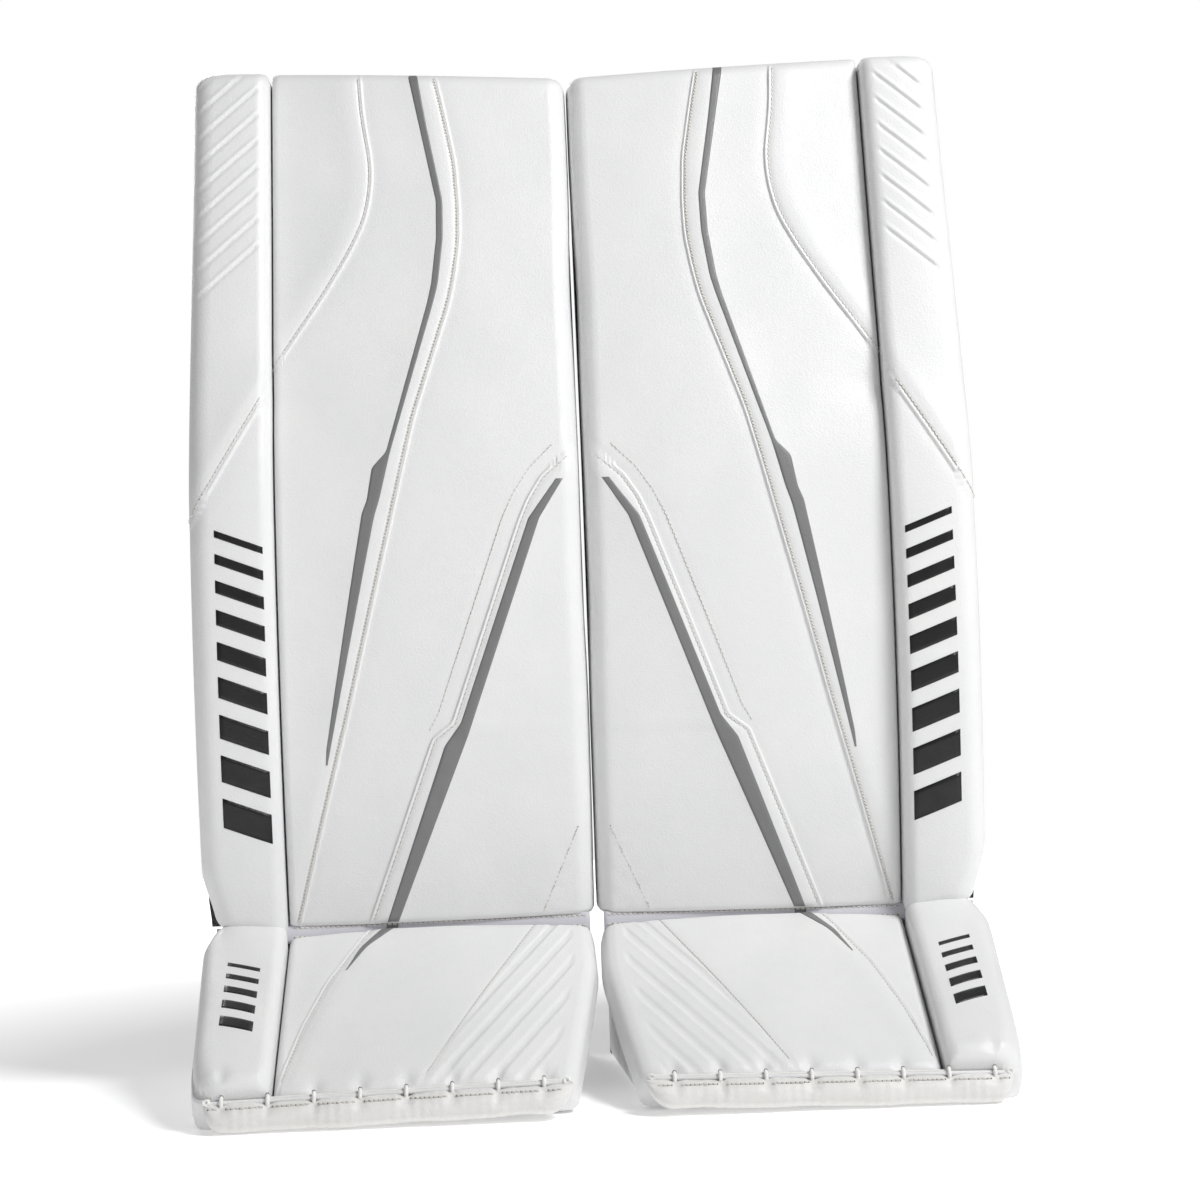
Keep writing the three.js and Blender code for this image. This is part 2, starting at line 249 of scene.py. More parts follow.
def tube_body(path, radius, sides=10, flat=1.0, closed=False):
    """Points and faces of a tube along a path, with rounded ends where the path is open."""
    path = np.asarray(path, float)
    count = len(path)
    if closed:
        tangents = np.roll(path, -1, axis=0) - np.roll(path, 1, axis=0)
    else:
        tangents = np.gradient(path, axis=0)
    tangents /= np.linalg.norm(tangents, axis=1)[:, None]
    guide = np.array([0.0, 0.0, 1.0]) if abs(tangents[0][2]) < 0.9 else np.array([0.0, 1.0, 0.0])
    radii = np.broadcast_to(radius, count)
    rings = []
    for point, tangent, size in zip(path, tangents, radii):
        guide = guide - tangent * np.dot(guide, tangent)
        guide /= np.linalg.norm(guide)
        other = np.cross(tangent, guide)
        angles = np.arange(sides) / sides * 2 * math.pi
        ring = point + size * (np.outer(np.cos(angles), guide) + flat * np.outer(np.sin(angles), other))
        rings.append(ring)
    if not closed:
        rings = round_ends(path, tangents, radii, rings)
        return capped(rings)
    faces = grid_faces(len(rings), sides, closed=True)
    last = (len(rings) - 1) * sides
    faces += [(last + c, last + (c + 1) % sides, (c + 1) % sides, c) for c in range(sides)]
    return np.concatenate(rings), faces


def capped(rings):
    """Points and faces of a body that runs through rings and is closed at both ends."""
    sides = len(rings[0])
    last = (len(rings) - 1) * sides
    faces = grid_faces(len(rings), sides, closed=True)
    faces += [tuple(range(sides))[::-1], tuple(range(last, last + sides))]
    return np.concatenate(rings), faces


def round_ends(path, tangents, radii, rings):
    """Adds two shrinking rings at each end of a tube."""
    rounded = list(rings)
    for end, away in ((0, -1), (-1, 1)):
        ring, centre = rings[end], path[end]
        for share in (0.6, 0.95):
            small = centre + (ring - centre) * math.sqrt(1 - share**2)
            small = small + away * tangents[end] * radii[end] * share
            rounded.insert(0 if end == 0 else len(rounded), small)
    return rounded


def joined(bodies):
    """Several (points, faces) as one."""
    points, faces, start = [], [], 0
    for body_points, body_faces in bodies:
        points.append(body_points)
        faces += [tuple(i + start for i in face) for face in body_faces]
        start += len(body_points)
    return np.concatenate(points), faces


# ---------------------------------------------------------------- padded blocks
class Block:
    """A foam block under leather: two side walls, rounded shoulders and a crowned front with relief.

    left and right give its edges at a height, front how far its front stands out, and back how far
    its walls reach behind. Both ends are rounded, and low_end and high_end move them with u.
    """

    def __init__(self, left, right, front, back, rounds, crown, ends, end_rounds, relief,
                 low_end=lambda u: 0 * u, high_end=lambda u: 0 * u, bulges=(1.2, 1.2), shrink=(1.0, 1.0),
                 position=on_leg):
        self.left, self.right, self.front, self.back = left, right, front, back
        self.rounds, self.crown, self.ends, self.end_rounds = rounds, crown, ends, end_rounds
        self.relief, self.low_end, self.high_end = relief, low_end, high_end
        self.bulges, self.shrink, self.position = bulges, shrink, position

    def level(self, u, z):
        """Height of a point of the row that is nominally at z, moved with the slanting ends."""
        reach = 60.0
        near_low = 1 - ramp(z, self.ends[0] + self.end_rounds[0], self.ends[0] + reach)
        near_high = ramp(z, self.ends[1] - reach, self.ends[1] - self.end_rounds[1])
        return z + self.low_end(u) * near_low + self.high_end(u) * near_high

    def inset(self, u, z):
        """How far the front falls back where an end rounds over."""
        total = 0.0
        low = (self.ends[0] + self.low_end(u) + self.end_rounds[0] - z) / self.end_rounds[0]
        high = (z - self.ends[1] - self.high_end(u) + self.end_rounds[1]) / self.end_rounds[1]
        for share, size in ((low, self.end_rounds[0]), (high, self.end_rounds[1])):
            share = np.clip(share, 0, 1)
            total = total + size * (1 - np.sqrt(1 - share**2))
        return total

    def out(self, u, z):
        """How far the front stands out at (u, z), with its rounded shoulders and its relief."""
        u, z = np.broadcast_arrays(np.asarray(u, float), np.asarray(z, float))
        left, right, inset = self.left(z), self.right(z), self.inset(u, z)
        height = self.front - inset
        shoulders = ((left + self.rounds[0] - u, self.rounds[0] - inset * self.shrink[0]),
                     (u - right + self.rounds[1], self.rounds[1] - inset * self.shrink[1]))
        for reach, radius in shoulders:
            radius = np.maximum(radius, 0.5)
            reach = np.clip(reach, 0, radius)
            height = height - radius + np.sqrt(radius**2 - reach**2)
        middle = 2 * (u - left) / (right - left) - 1
        crown = self.crown * (1 - np.clip(middle, -1, 1) ** 2)
        fade = np.clip(1 - inset / 4, 0, 1)
        return height + crown + self.relief(u, z) * fade

    def point(self, u, z, lift=0.0):
        """A point of the front, lifted off it."""
        return self.position(u, self.out(u, z) + lift, z)

    def wall(self, edge, inward, inset, bulge):
        """Points of a side wall from its back edge to its shoulder, at one row."""
        top = self.front - (self.rounds[0] if inward > 0 else self.rounds[1])
        share = np.linspace(0, 1, 7)[:-1]
        out = -self.back + (top + self.back) * share
        u = edge + inward * (inset - bulge * np.sin(math.pi * share))
        return u, out

    def row(self, z, columns):
        """All points across the block at one row: left wall, shoulder, front, shoulder, right wall."""
        left, right = float(self.left(z)), float(self.right(z))
        inset = float(self.inset(np.array((left + right) / 2), self.level((left + right) / 2, z)))
        angles = np.linspace(0, math.pi / 2, 9)
        insets = [inset * share for share in self.shrink]
        wall_u, wall_out = self.wall(left, 1, insets[0], self.bulges[0])
        radius = self.rounds[0] - insets[0]
        left_u = left + self.rounds[0] - radius * np.cos(angles)
        other_u, other_out = self.wall(right, -1, insets[1], self.bulges[1])
        radius = self.rounds[1] - insets[1]
        right_u = right - self.rounds[1] + radius * np.cos(angles)[::-1]
        front_u = columns(z, left + self.rounds[0], right - self.rounds[1])
        front_u = np.concatenate([left_u[:-1], front_u, right_u[1:]])
        height = self.level(front_u, z)
        low = self.position(wall_u, wall_out, self.level(wall_u, z))
        front = self.position(front_u, self.out(front_u, height), height)
        high = self.position(other_u[::-1], other_out[::-1], self.level(other_u[::-1], z))
        return np.concatenate([low, front, high])

    def heights(self, step):
        """Row heights: rounded ends in even angles and the rest about step(z) apart."""
        turns = np.linspace(math.pi / 2, 0, 7)
        low = self.ends[0] + self.end_rounds[0] * (1 - np.sin(turns))
        high = (self.ends[1] - self.end_rounds[1] * (1 - np.sin(turns)))[::-1]
        middle = [low[-1]]
        while middle[-1] < high[0]:
            middle.append(middle[-1] + step(middle[-1]))
        scale = (high[0] - low[-1]) / (middle[-1] - low[-1])
        middle = low[-1] + (np.array(middle) - low[-1]) * scale
        return np.concatenate([low[:-1], middle, high[1:]])

    def body(self, columns, step):
        """Points and faces of the whole closed block."""
        rows = [self.row(z, columns) for z in self.heights(step)]
        count = len(rows[0])
        share = np.linspace(0, 1, count)[:, None]
        for end in (0, -1):
            edge = rows[end]
            back_line = edge[0] * (1 - share) + edge[-1] * share
            for k in (0.3, 0.65, 1.0):
                ring = edge * (1 - k) + back_line * k
                rows.insert(0 if end == 0 else len(rows), ring)
        faces = grid_faces(len(rows), count)
        first, last = 4, len(rows) - 5             # the rows next to the two ends' edges
        faces.append(tuple(range(count))[::-1] + (first * count, first * count + count - 1))
        for r in range(first, last):
            faces.append((r * count, (r + 1) * count, (r + 2) * count - 1, (r + 1) * count - 1))
        end_ring = tuple(range(count * (len(rows) - 1), count * len(rows)))
        faces.append(end_ring + (last * count + count - 1, last * count))
        return np.concatenate(rows), faces


# ---------------------------------------------------------------- seams and relief of the leg's face
SEAM_1 = bent_line([(516, 218), (569, 182), (602, 162), (627, 150), (650, 145), (672, 144), (712, 150),
                    (746, 152)], 9)
SEAM_2 = bent_line([(113, 211), (270, 168.5), (400, 136), (478, 117), (563, 89), (584, 84.5), (610, 80.5),
                    (637, 80), (672, 82), (711, 89), (746, 96)], 7)
SEAM_3 = bent_line([(112, 163), (246.5, 112), (257.5, 97.5), (400, 46), (416, 39), (432.5, 28.5),
                    (451, 7.5)], 1.5)
CORNER_SEAM = bent_line([(118, 36.5), (178.5, 10)], 1)
STRIPE_1_INNER = bent_line([(228, 187.5), (407, 148), (419, 144), (453, 135.5), (563, 102), (578, 98),
                            (613, 93.5), (642, 93), (704, 104), (744, 110)], 4)
STRIPE_1_OUTER = bent_line([(228, 188.5), (241, 187.5), (409, 157), (419, 153), (442, 149), (453, 138.5),
                            (563, 106.5), (578, 103), (613, 98.5), (642, 98), (704, 109.5), (744, 117)], 2)
STRIPE_2_INNER = bent_line([(112, 142), (248, 86), (402, 30), (430, 12)], 1.5)
STRIPE_2_OUTER = bent_line([(112, 150), (241, 103), (257, 91), (402, 38), (431, 16.5)], 1.5)
SPARE_ROW = bent_line([(248, 116), (264.3, 106.7), (402, 57), (420, 48.5), (438, 36.5), (456, 18)], 2)
SPARE_FOOT = 252.0                             # the second row beside the third seam starts at its bend
SHOULDER_SEAM = 6.5                            # the side panel's seam, in from the inner edge
SEAM_3_TOP = 451.0
SEAM_1_FOOT = 516.0
STITCH_INSET = 2.8                             # from a lapped edge to its row of stitches
EDGE_FINE = (0.0, 0.45, 1.0, 1.8, 2.8, 3.8, 5.2, 7.5)


def lapped(distance, height=1.5):
    """Section through a lapped seam: a folded edge, the groove of its stitches and the panel's swell."""
    edge = height * ramp(distance, -0.35, 0.55)
    groove = 0.95 * bell(distance - STITCH_INSET, 1.15)
    swell = 0.8 * ramp(distance, STITCH_INSET, 13) * bell(np.maximum(distance - 9, 0), 13)
    settle = bell(np.maximum(distance, 0), 34)
    tuck = 0.45 * bell(np.minimum(distance, 0), 5) * (distance < 0)
    return (edge - groove) * settle + swell - tuck


def soft_waves(u, z):
    """The slight unevenness of hand-stuffed foam."""
    return 0.22 * np.sin(u / 21 + z / 47) * np.sin(z / 33 - u / 58) + 0.12 * np.sin(u / 11 - z / 19)


def rib_section(distance, pitch, depth=1.0):
    """Embossed ribs: every pitch a groove with a raised lip beside it."""
    place_in = np.mod(distance, pitch)
    near = np.minimum(place_in, pitch - place_in)
    lip = np.mod(distance - 2.6, pitch)
    near_lip = np.minimum(lip, pitch - lip)
    return depth * (0.55 * bell(near_lip, 1.3) - bell(near, 1.25))


def leg_relief(u, z):
    """Seams, embossed corner and dents of the leg's face."""
    relief = lapped(across(SEAM_1, u, z)) * ramp(z, SEAM_1_FOOT - 14, SEAM_1_FOOT + 2)
    relief = relief + lapped(across(SEAM_2, u, z), 1.25)
    inner_3 = -across(SEAM_3, u, z)
    seam_3_live = 1 - ramp(z, SEAM_3_TOP - 4, SEAM_3_TOP + 14)
    relief = relief + lapped(inner_3) * seam_3_live
    spare_live = seam_3_live * ramp(z, SPARE_FOOT - 3, SPARE_FOOT + 3)
    relief = relief - 0.35 * bell(across(SPARE_ROW, u, z), 0.9) * spare_live
    corner = across(CORNER_SEAM, u, z)
    below_corner = 1 - ramp(z, 170, 184)
    relief = relief - 0.6 * bell(corner, 1.3) * below_corner
    ribs = (z + 0.9 * u - 140) / 1.35
    relief = relief + rib_section(ribs, 13.0) * below_corner * ramp(-corner, 2, 5) * ramp(u, 9, 13)
    dent = 1.6 * bell(u - SEAM, 26) * bell(z - (SEAM_1_FOOT - 24), 12)
    shoulder_seam = 0.7 * bell(u - INNER_EDGE(z) - SHOULDER_SEAM, 0.9)
    return relief - dent - shoulder_seam + soft_waves(u, z)


INNER_EDGE = bent_line([(114, -0.2), (200, -0.6), (275, -0.8), (350, 0.9), (424, 0.3), (499, 0.5),
                        (574, 1.6), (648, -0.7), (722, -0.6), (744, -0.3)], 22)


def leg_columns(z, low, high):
    """Places across the face at one row, close together along the three seams."""
    centres = [max(float(SEAM_3(z)), low + 8), float(SEAM_2(z)), min(float(SEAM_1(z)), high - 2.5)]
    lines = (SEAM_3, SEAM_2, SEAM_1)
    # The ends of the leg slant, so each seam is met where it crosses the slanting row.
    for k, line in enumerate(lines):
        for _ in range(3):
            met = float(line(leg.level(centres[k], z)))
            centres[k] = min(max(met, low + 8), high - 2.5)
    gaps = np.diff([low, *centres, high])
    columns = [low]
    counts = (26, 20, 20, 14)
    for k, centre in enumerate(centres):
        stretch = math.sqrt(1 + float(slope_of(lines[k], z)) ** 2)
        before = min(stretch, 0.45 * gaps[k] / EDGE_FINE[-1])
        after = min(stretch, 0.45 * gaps[k + 1] / EDGE_FINE[-1])
        columns += list(np.linspace(columns[-1], centre - before * EDGE_FINE[-1], counts[k])[1:])
        columns += [centre - before * d for d in EDGE_FINE[-2::-1]]
        columns += [centre + after * d for d in EDGE_FINE[1:]]
    columns += list(np.linspace(columns[-1], high, counts[-1])[1:])
    return np.array(columns)


leg = Block(
    left=INNER_EDGE, right=lambda z: SEAM - 0.5,
    front=0.0, back=WALL_BACK, rounds=(13.0, 6.0), crown=4.6, ends=(LEG_LOW + 1, LEG_HIGH - 1),
    end_rounds=(4.5, 9.0), relief=leg_relief,
    low_end=lambda u: -2.2 * (u / SEAM), high_end=lambda u: 5.5 - 9.5 * (1 - u / SEAM),
    bulges=(1.0, 0.0), shrink=(1.0, 0.0),
)


# ---------------------------------------------------------------- outer roll of the leg
OVERLAP = ((224.0, 494.0), (277.0, 405.0))     # the slanting edge where the roll's two covers meet
RIB_FOOT = 610.0
RIB_PITCH = 15.1
RIB_LEAN = 0.9


def overlap_distance(u, z):
    """Distance above the slanting edge between the roll's upper and lower cover."""
    (u0, z0), (u1, z1) = OVERLAP
    lean = (z1 - z0) / (u1 - u0)
    return (z - z0 - lean * (u - u0)) / math.sqrt(1 + lean**2)


def roll_relief(u, z):
    """The overlap and the embossed ribs of the outer roll."""
    relief = lapped(overlap_distance(u, z), 1.3) * bell(np.maximum(overlap_distance(u, z) - 6, 0), 30)
    ribs = (z + RIB_LEAN * (u - SEAM - 8) - RIB_FOOT) / math.sqrt(1 + RIB_LEAN**2)
    ribbed = ramp(ribs, -4, -2) * ramp(u, SEAM + 7, SEAM + 12) * (1 - ramp(u, WIDTH - 12, WIDTH - 5))
    relief = relief + rib_section(ribs, RIB_PITCH, 1.25) * ribbed
    return relief + soft_waves(u, z) * 0.7


roll = Block(
    left=lambda z: SEAM + 0.6,
    right=lambda z: WIDTH - 3.5 * ramp(z, 420, ROLL_HIGH) - 9.0 * (1 - ramp(z, LEG_LOW, LEG_LOW + 46)),
    front=ROLL_PROUD - 1.5, back=WALL_BACK, rounds=(9.0, 15.0), crown=2.2, ends=(LEG_LOW, ROLL_HIGH - 1),
    end_rounds=(8.0, 9.0), relief=roll_relief,
    low_end=lambda u: -6.0 * ramp(SEAM + 30 - u, 0, 30) + 3.0 * ramp(u, WIDTH - 18, WIDTH),
    high_end=lambda u: -1.5 - 1.5 * ramp(u, WIDTH - 30, WIDTH), bulges=(0.0, 1.6), shrink=(0.35, 1.0),
)


def roll_step(z):
    """Fine rows where the roll is ribbed or seamed."""
    seamed = OVERLAP[1][1] - 12 < z < OVERLAP[0][1] + 12
    ribbed = z > RIB_FOOT - 60
    return 1.1 if seamed or ribbed else 4.0


# ---------------------------------------------------------------- boot, drawn down its own slope
BOOT_SEAM_3 = bent_line([(-184, 219), (-157, 214), (-116, 205.5), (-63, 190), (-12, 168), (0, 161)], 6)
BOOT_CORNER_SEAM = bent_line([(-190, 124), (-148, 107), (-95, 85), (0, 42)], 14)
BOOT_STRIPE_INNER = bent_line([(-53, 176), (-26, 163), (0, 141)], 4)
BOOT_STRIPE_OUTER = bent_line([(-53, 177), (-26, 167.5), (0, 150)], 4)
LACES = 8
LACE_U = np.linspace(41, 252, LACES)
BOOT_RIB_PITCH = 16.0
BOOT_RIB_LEAN = 1.8                            # how fast a rib runs down the slope as it goes outward
BOOT_CHANNEL = 7.0
UNDER_BOOT = (-24.2, -25.4)                    # the two faces of the lining under the boot


def boot_relief(u, v):
    """Seams, embossed corner and lace puckers of the boot's face."""
    relief = lapped(-across(BOOT_SEAM_3, u, v), 0.9)
    corner = across(BOOT_CORNER_SEAM, u, v)
    relief = relief - 0.6 * bell(corner, 1.3)
    ribs = (-v - BOOT_RIB_LEAN * u - 8) / math.sqrt(1 + BOOT_RIB_LEAN**2)
    relief = relief - sunk_channels(ribs) * ramp(-corner, 1.5, 4) * boot_margin(u, v)
    relief = relief - 0.6 * bell(u - BOOT_INNER(v) - SHOULDER_SEAM, 0.9)
    return relief + soft_waves(u, v + 40) - lace_puckers(u, v)


def sunk_channels(distance):
    """How deep the broad channels between the boot's ribs are sunk, with a crisp edge on both sides."""
    place_in = np.mod(distance, BOOT_RIB_PITCH)
    sunk = ramp(place_in, 0, 1.5) * (1 - ramp(place_in, BOOT_CHANNEL - 1.8, BOOT_CHANNEL))
    lip = bell(place_in - BOOT_CHANNEL - 0.8, 1.6)
    return 0.85 * sunk - 0.3 * lip


def boot_margin(u, v):
    """1 over the boot's face and 0 near its inner edge, where the ribs fade out."""
    return ramp(u - BOOT_INNER(v), 14, 19)


def lace_puckers(u, v):
    """Hollows that the lace pulls into the toe edge, and the swell between them."""
    total = 0.0
    toe = BOOT_LENGTH + toe_drop(u) + v
    for lace_u in LACE_U:
        total = total + 3.3 * bell(u - lace_u, 4.6) * bell(toe, 12)
    return total + 1.2 * bell(toe, 7)


def toe_drop(u):
    """How much further down its slope the boot ends at its outer side than at its inner side."""
    return -1.0 + 9.0 * (np.asarray(u, float) - 20) / 250


BOOT_INNER = bent_line([(-200, 21), (-184, 19), (-108, 8), (-49, 0.4), (-8, 1.2), (0, 1.8)], 8)
BOOT_OUTER = bent_line([(-200, 262), (-180, 271), (-155, 274.5), (-27, 279), (-8, 274), (0, 270)], 4)


def boot_columns(z, low, high):
    """Places across the boot at one row, closer over the ribs and along the third seam."""
    seam = min(float(BOOT_SEAM_3(z)), high - 6)
    ribs_end = min(float(BOOT_CORNER_SEAM(z)) + 3, seam - 25)
    fine = [seam - 1.3 * d for d in EDGE_FINE[::-1]] + [seam + 0.6 * d for d in EDGE_FINE[1:]]
    parts = [np.linspace(low, ribs_end, 58), np.linspace(ribs_end, fine[0], 34)[1:], fine[1:],
             np.linspace(fine[-1], high, 12)[1:]]
    return np.concatenate(parts)


boot = Block(
    left=BOOT_INNER, right=lambda v: SEAM - 0.5,
    front=0.5, back=BOOT_BACK, rounds=(9.0, 6.0), crown=5.0, ends=(-BOOT_LENGTH, -1.0),
    end_rounds=(8.0, 4.5), relief=boot_relief, low_end=lambda u: -toe_drop(u),
    high_end=lambda u: 1.2 - 2.0 * (u / SEAM), bulges=(1.2, 0.0), shrink=(1.0, 0.0), position=on_boot,
)


def boot_roll_relief(u, v):
    """Unevenness and lace puckers of the boot's roll."""
    return soft_waves(u * 1.4, v * 1.3) * 1.6 - lace_puckers(u, v)


boot_roll = Block(
    left=lambda v: SEAM + 0.6, right=BOOT_OUTER,
    front=BOOT_PROUD - 1.0, back=BOOT_BACK, rounds=(8.0, 14.0), crown=2.4, ends=(-BOOT_LENGTH, -2.0),
    end_rounds=(10.0, 9.0), relief=boot_roll_relief, low_end=lambda u: -toe_drop(u),
    bulges=(0.0, 1.6), shrink=(0.35, 1.0), position=on_boot,
)


def even_columns(count):
    """A function that places count even columns across a row."""
    return lambda z, low, high: np.linspace(low, high, count)


# ---------------------------------------------------------------- materials
def material(name):
    """A new node material and its shader."""
    made = bpy.data.materials.new(name)
    made.use_nodes = True
    return made, made.node_tree, made.node_tree.nodes["Principled BSDF"]


def link(tree, source, output, target, socket):
    """Joins one node's output to another node's input."""
    tree.links.new(source.outputs[output], target.inputs[socket])


def texture(tree, kind, place_from, scale, **settings):
    """A texture node measured in metres of the object."""
    node = tree.nodes.new(kind)
    node.inputs["Scale"].default_value = scale
    for key, value in settings.items():
        if key in node.inputs:
            node.inputs[key].default_value = value
        else:
            setattr(node, key, value)
    link(tree, place_from, 0, node, "Vector")
    return node


def frame_place(tree, stretch=(1, 1, 1), turn=(0, 0, 0)):
    """The place of a point in the frame's axes, stretched and turned."""
    coordinates = tree.nodes.new("ShaderNodeTexCoord")
    mapping = tree.nodes.new("ShaderNodeMapping")
    mapping.inputs["Scale"].default_value = stretch
    mapping.inputs["Rotation"].default_value = turn
    link(tree, coordinates, "Object", mapping, "Vector")
    return mapping


def spread(tree, source, output, low, high, start=0.0, end=1.0):
    """Maps a texture's value from start..end to low..high."""
    node = tree.nodes.new("ShaderNodeMapRange")
    node.inputs["From Min"].default_value = start
    node.inputs["From Max"].default_value = end
    node.inputs["To Min"].default_value = low
    node.inputs["To Max"].default_value = high
    link(tree, source, output, node, "Value")
    return node


def paint(tree, shader, factor, output, first, second):
    """Colours a material between two tones by a factor."""
    mix = tree.nodes.new("ShaderNodeMix")
    mix.data_type = "RGBA"
    mix.inputs["A"].default_value = (*first, 1)
    mix.inputs["B"].default_value = (*second, 1)
    link(tree, factor, output, mix, "Factor")
    link(tree, mix, "Result", shader, "Base Color")


def roughen(tree, shader, noise, low, high):
    """Varies a material's roughness from low to high with a noise texture."""
    rough = spread(tree, noise, "Fac", low, high, 0.3, 0.7)
    link(tree, rough, "Result", shader, "Roughness")


def add_values(tree, first, first_output, second, second_output, share):
    """first plus share times second."""
    node = tree.nodes.new("ShaderNodeMath")
    node.operation = "MULTIPLY_ADD"
    node.inputs[1].default_value = share
    link(tree, second, second_output, node, 0)
    link(tree, first, first_output, node, 2)
    return node


def emboss(tree, shader, source, output, depth):
    """Bump of a real depth in metres."""
    bump = tree.nodes.new("ShaderNodeBump")
    bump.inputs["Distance"].default_value = depth
    bump.inputs["Strength"].default_value = 1.0
    link(tree, source, output, bump, "Height")
    link(tree, bump, "Normal", shader, "Normal")


def leather(name, light, dark, roughness=0.42):
    """Coated synthetic leather: fine pebbled grain, faint creases and slight mottling."""
    made, tree, shader = material(name)
    everywhere = frame_place(tree)
    pebbles = texture(tree, "ShaderNodeTexVoronoi", everywhere, 850.0, feature="SMOOTH_F1")
    fine = texture(tree, "ShaderNodeTexNoise", everywhere, 2600.0, Detail=3.0)
    creases = texture(tree, "ShaderNodeTexNoise", everywhere, 95.0, Detail=5.0, Roughness=0.6)
    mottle = texture(tree, "ShaderNodeTexNoise", everywhere, 14.0, Detail=4.0)
    tone = add_values(tree, mottle, "Fac", creases, "Fac", 0.35)
    tone = spread(tree, tone, "Value", 0, 1, 0.45, 0.95)
    paint(tree, shader, tone, "Result", light, dark)
    roughen(tree, shader, creases, roughness - 0.07, roughness + 0.09)
    shader.inputs["Specular IOR Level"].default_value = 0.42
    height = add_values(tree, pebbles, "Distance", fine, "Fac", 0.35)
    height = add_values(tree, height, "Value", creases, "Fac", 0.9)
    emboss(tree, shader, height, "Value", 0.00016)
    return made


def thread(name, light, dark):
    """Twisted bonded thread."""
    made, tree, shader = material(name)
    twist = texture(tree, "ShaderNodeTexNoise", frame_place(tree, (1, 1, 2.5)), 1500.0, Detail=2.0)
    paint(tree, shader, twist, "Fac", light, dark)
    shader.inputs["Roughness"].default_value = 0.55
    emboss(tree, shader, twist, "Fac", 0.0002)
    return made


def woven(name, light, dark, threads=1400.0, roughness=0.8, depth=0.00025, sheen=0.25):
    """A plain weave: two sets of threads that cross, with slightly uneven colour."""
    made, tree, shader = material(name)
    lanes = []
    for turn in ((0, 0, math.radians(45)), (0, math.radians(45), 0)):
        lanes.append(texture(tree, "ShaderNodeTexWave", frame_place(tree, turn=turn), threads / 6.28,
                             Distortion=0.6, wave_type="BANDS", bands_direction="X"))
    weave = add_values(tree, lanes[0], "Fac", lanes[1], "Fac", 1.0)
    patches = texture(tree, "ShaderNodeTexNoise", frame_place(tree), 30.0, Detail=4.0)
    tone = add_values(tree, patches, "Fac", weave, "Value", 0.25)
    tone = spread(tree, tone, "Value", 0, 1, 0.3, 1.2)
    paint(tree, shader, tone, "Result", dark, light)
    roughen(tree, shader, patches, roughness - 0.08, roughness + 0.08)
    shader.inputs["Sheen Weight"].default_value = sheen
    emboss(tree, shader, weave, "Value", depth)
    return made


def moulded_plastic(name, light, dark):
    """Moulded nylon with a fine spark texture and rubbed patches."""
    made, tree, shader = material(name)
    everywhere = frame_place(tree)
    spark = texture(tree, "ShaderNodeTexNoise", everywhere, 3000.0, Detail=2.0)
    rubbed = texture(tree, "ShaderNodeTexNoise", everywhere, 60.0, Detail=5.0)
    paint(tree, shader, rubbed, "Fac", dark, light)
    roughen(tree, shader, rubbed, 0.28, 0.50)
    emboss(tree, shader, spark, "Fac", 0.00008)
    return made


WHITE = leather("white_leather", (0.815, 0.815, 0.812), (0.775, 0.777, 0.785))
CREAM = leather("toe_leather", (0.80, 0.795, 0.78), (0.77, 0.765, 0.745), roughness=0.5)
GREY = leather("grey_leather", (0.215, 0.215, 0.215), (0.180, 0.180, 0.183), roughness=0.38)
BLACK_PRINT = leather("black_leather", (0.012, 0.012, 0.013), (0.007, 0.007, 0.008), roughness=0.35)
STRIP = leather("gusset_leather", (0.60, 0.595, 0.64), (0.54, 0.535, 0.585), roughness=0.5)
THREAD = thread("white_thread", (0.80, 0.78, 0.74), (0.56, 0.54, 0.51))
# Painted shade: the dark tone of the small discs at needle holes and lace mouths, standing in for the
# shadow inside them.
PAINTED_HOLE_SHADE = thread("painted_stitch_hole_shade", (0.12, 0.115, 0.11), (0.20, 0.195, 0.19))
LACE = thread("lace", (0.95, 0.945, 0.925), (0.86, 0.85, 0.83))
NYLON = woven("black_nylon", (0.036, 0.036, 0.039), (0.012, 0.012, 0.013))
WEBBING = woven("webbing", (0.044, 0.044, 0.047), (0.012, 0.012, 0.013), threads=700.0, depth=0.0005)
SUEDE = woven("liner_fabric", (0.070, 0.070, 0.074), (0.026, 0.026, 0.028), threads=2300.0, sheen=0.5)
BINDING = woven("black_binding", (0.022, 0.022, 0.024), (0.008, 0.008, 0.009), threads=1900.0,
                roughness=0.6)
FASTENER = woven("fastener_pile", (0.085, 0.085, 0.088), (0.030, 0.030, 0.032), threads=2900.0, sheen=0.8)
GREY_THREAD = thread("grey_thread", (0.30, 0.30, 0.31), (0.16, 0.16, 0.17))
PLASTIC = moulded_plastic("black_plastic", (0.035, 0.036, 0.038), (0.014, 0.014, 0.015))


# ---------------------------------------------------------------- making pieces
def finished(name, finish, side, shape, stands_for):
    """A new mesh with its material; the CAD nodes it stands for are hidden."""
    made = new_mesh(f"{side}_{name}", *shape, side)
    made.data.materials.append(finish)
    if stands_for:
        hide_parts(*[f"{side}_{node}" for node in stands_for])
    return made


def piece(name, body, finish, side, shape, stands_for=()):
    """A piece that rides on one body."""
    made = finished(name, finish, side, shape, stands_for)
    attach(made, f"{side}_{body}")


def bending(name, finish, side, shape, ends, stands_for=()):
    """A piece with its transform baked into its points, not attached to any body; ends holds two points,
    which are placed in the frame but not used further.
    """
    made = finished(name, finish, side, shape, stands_for)
    start, end = place(ends, side)
    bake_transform(made)


PRINT_LIFT = 0.28                              # how far a stripe lies above the leather
PRINT_BED = 0.5                                # how far stripes and bars reach into it


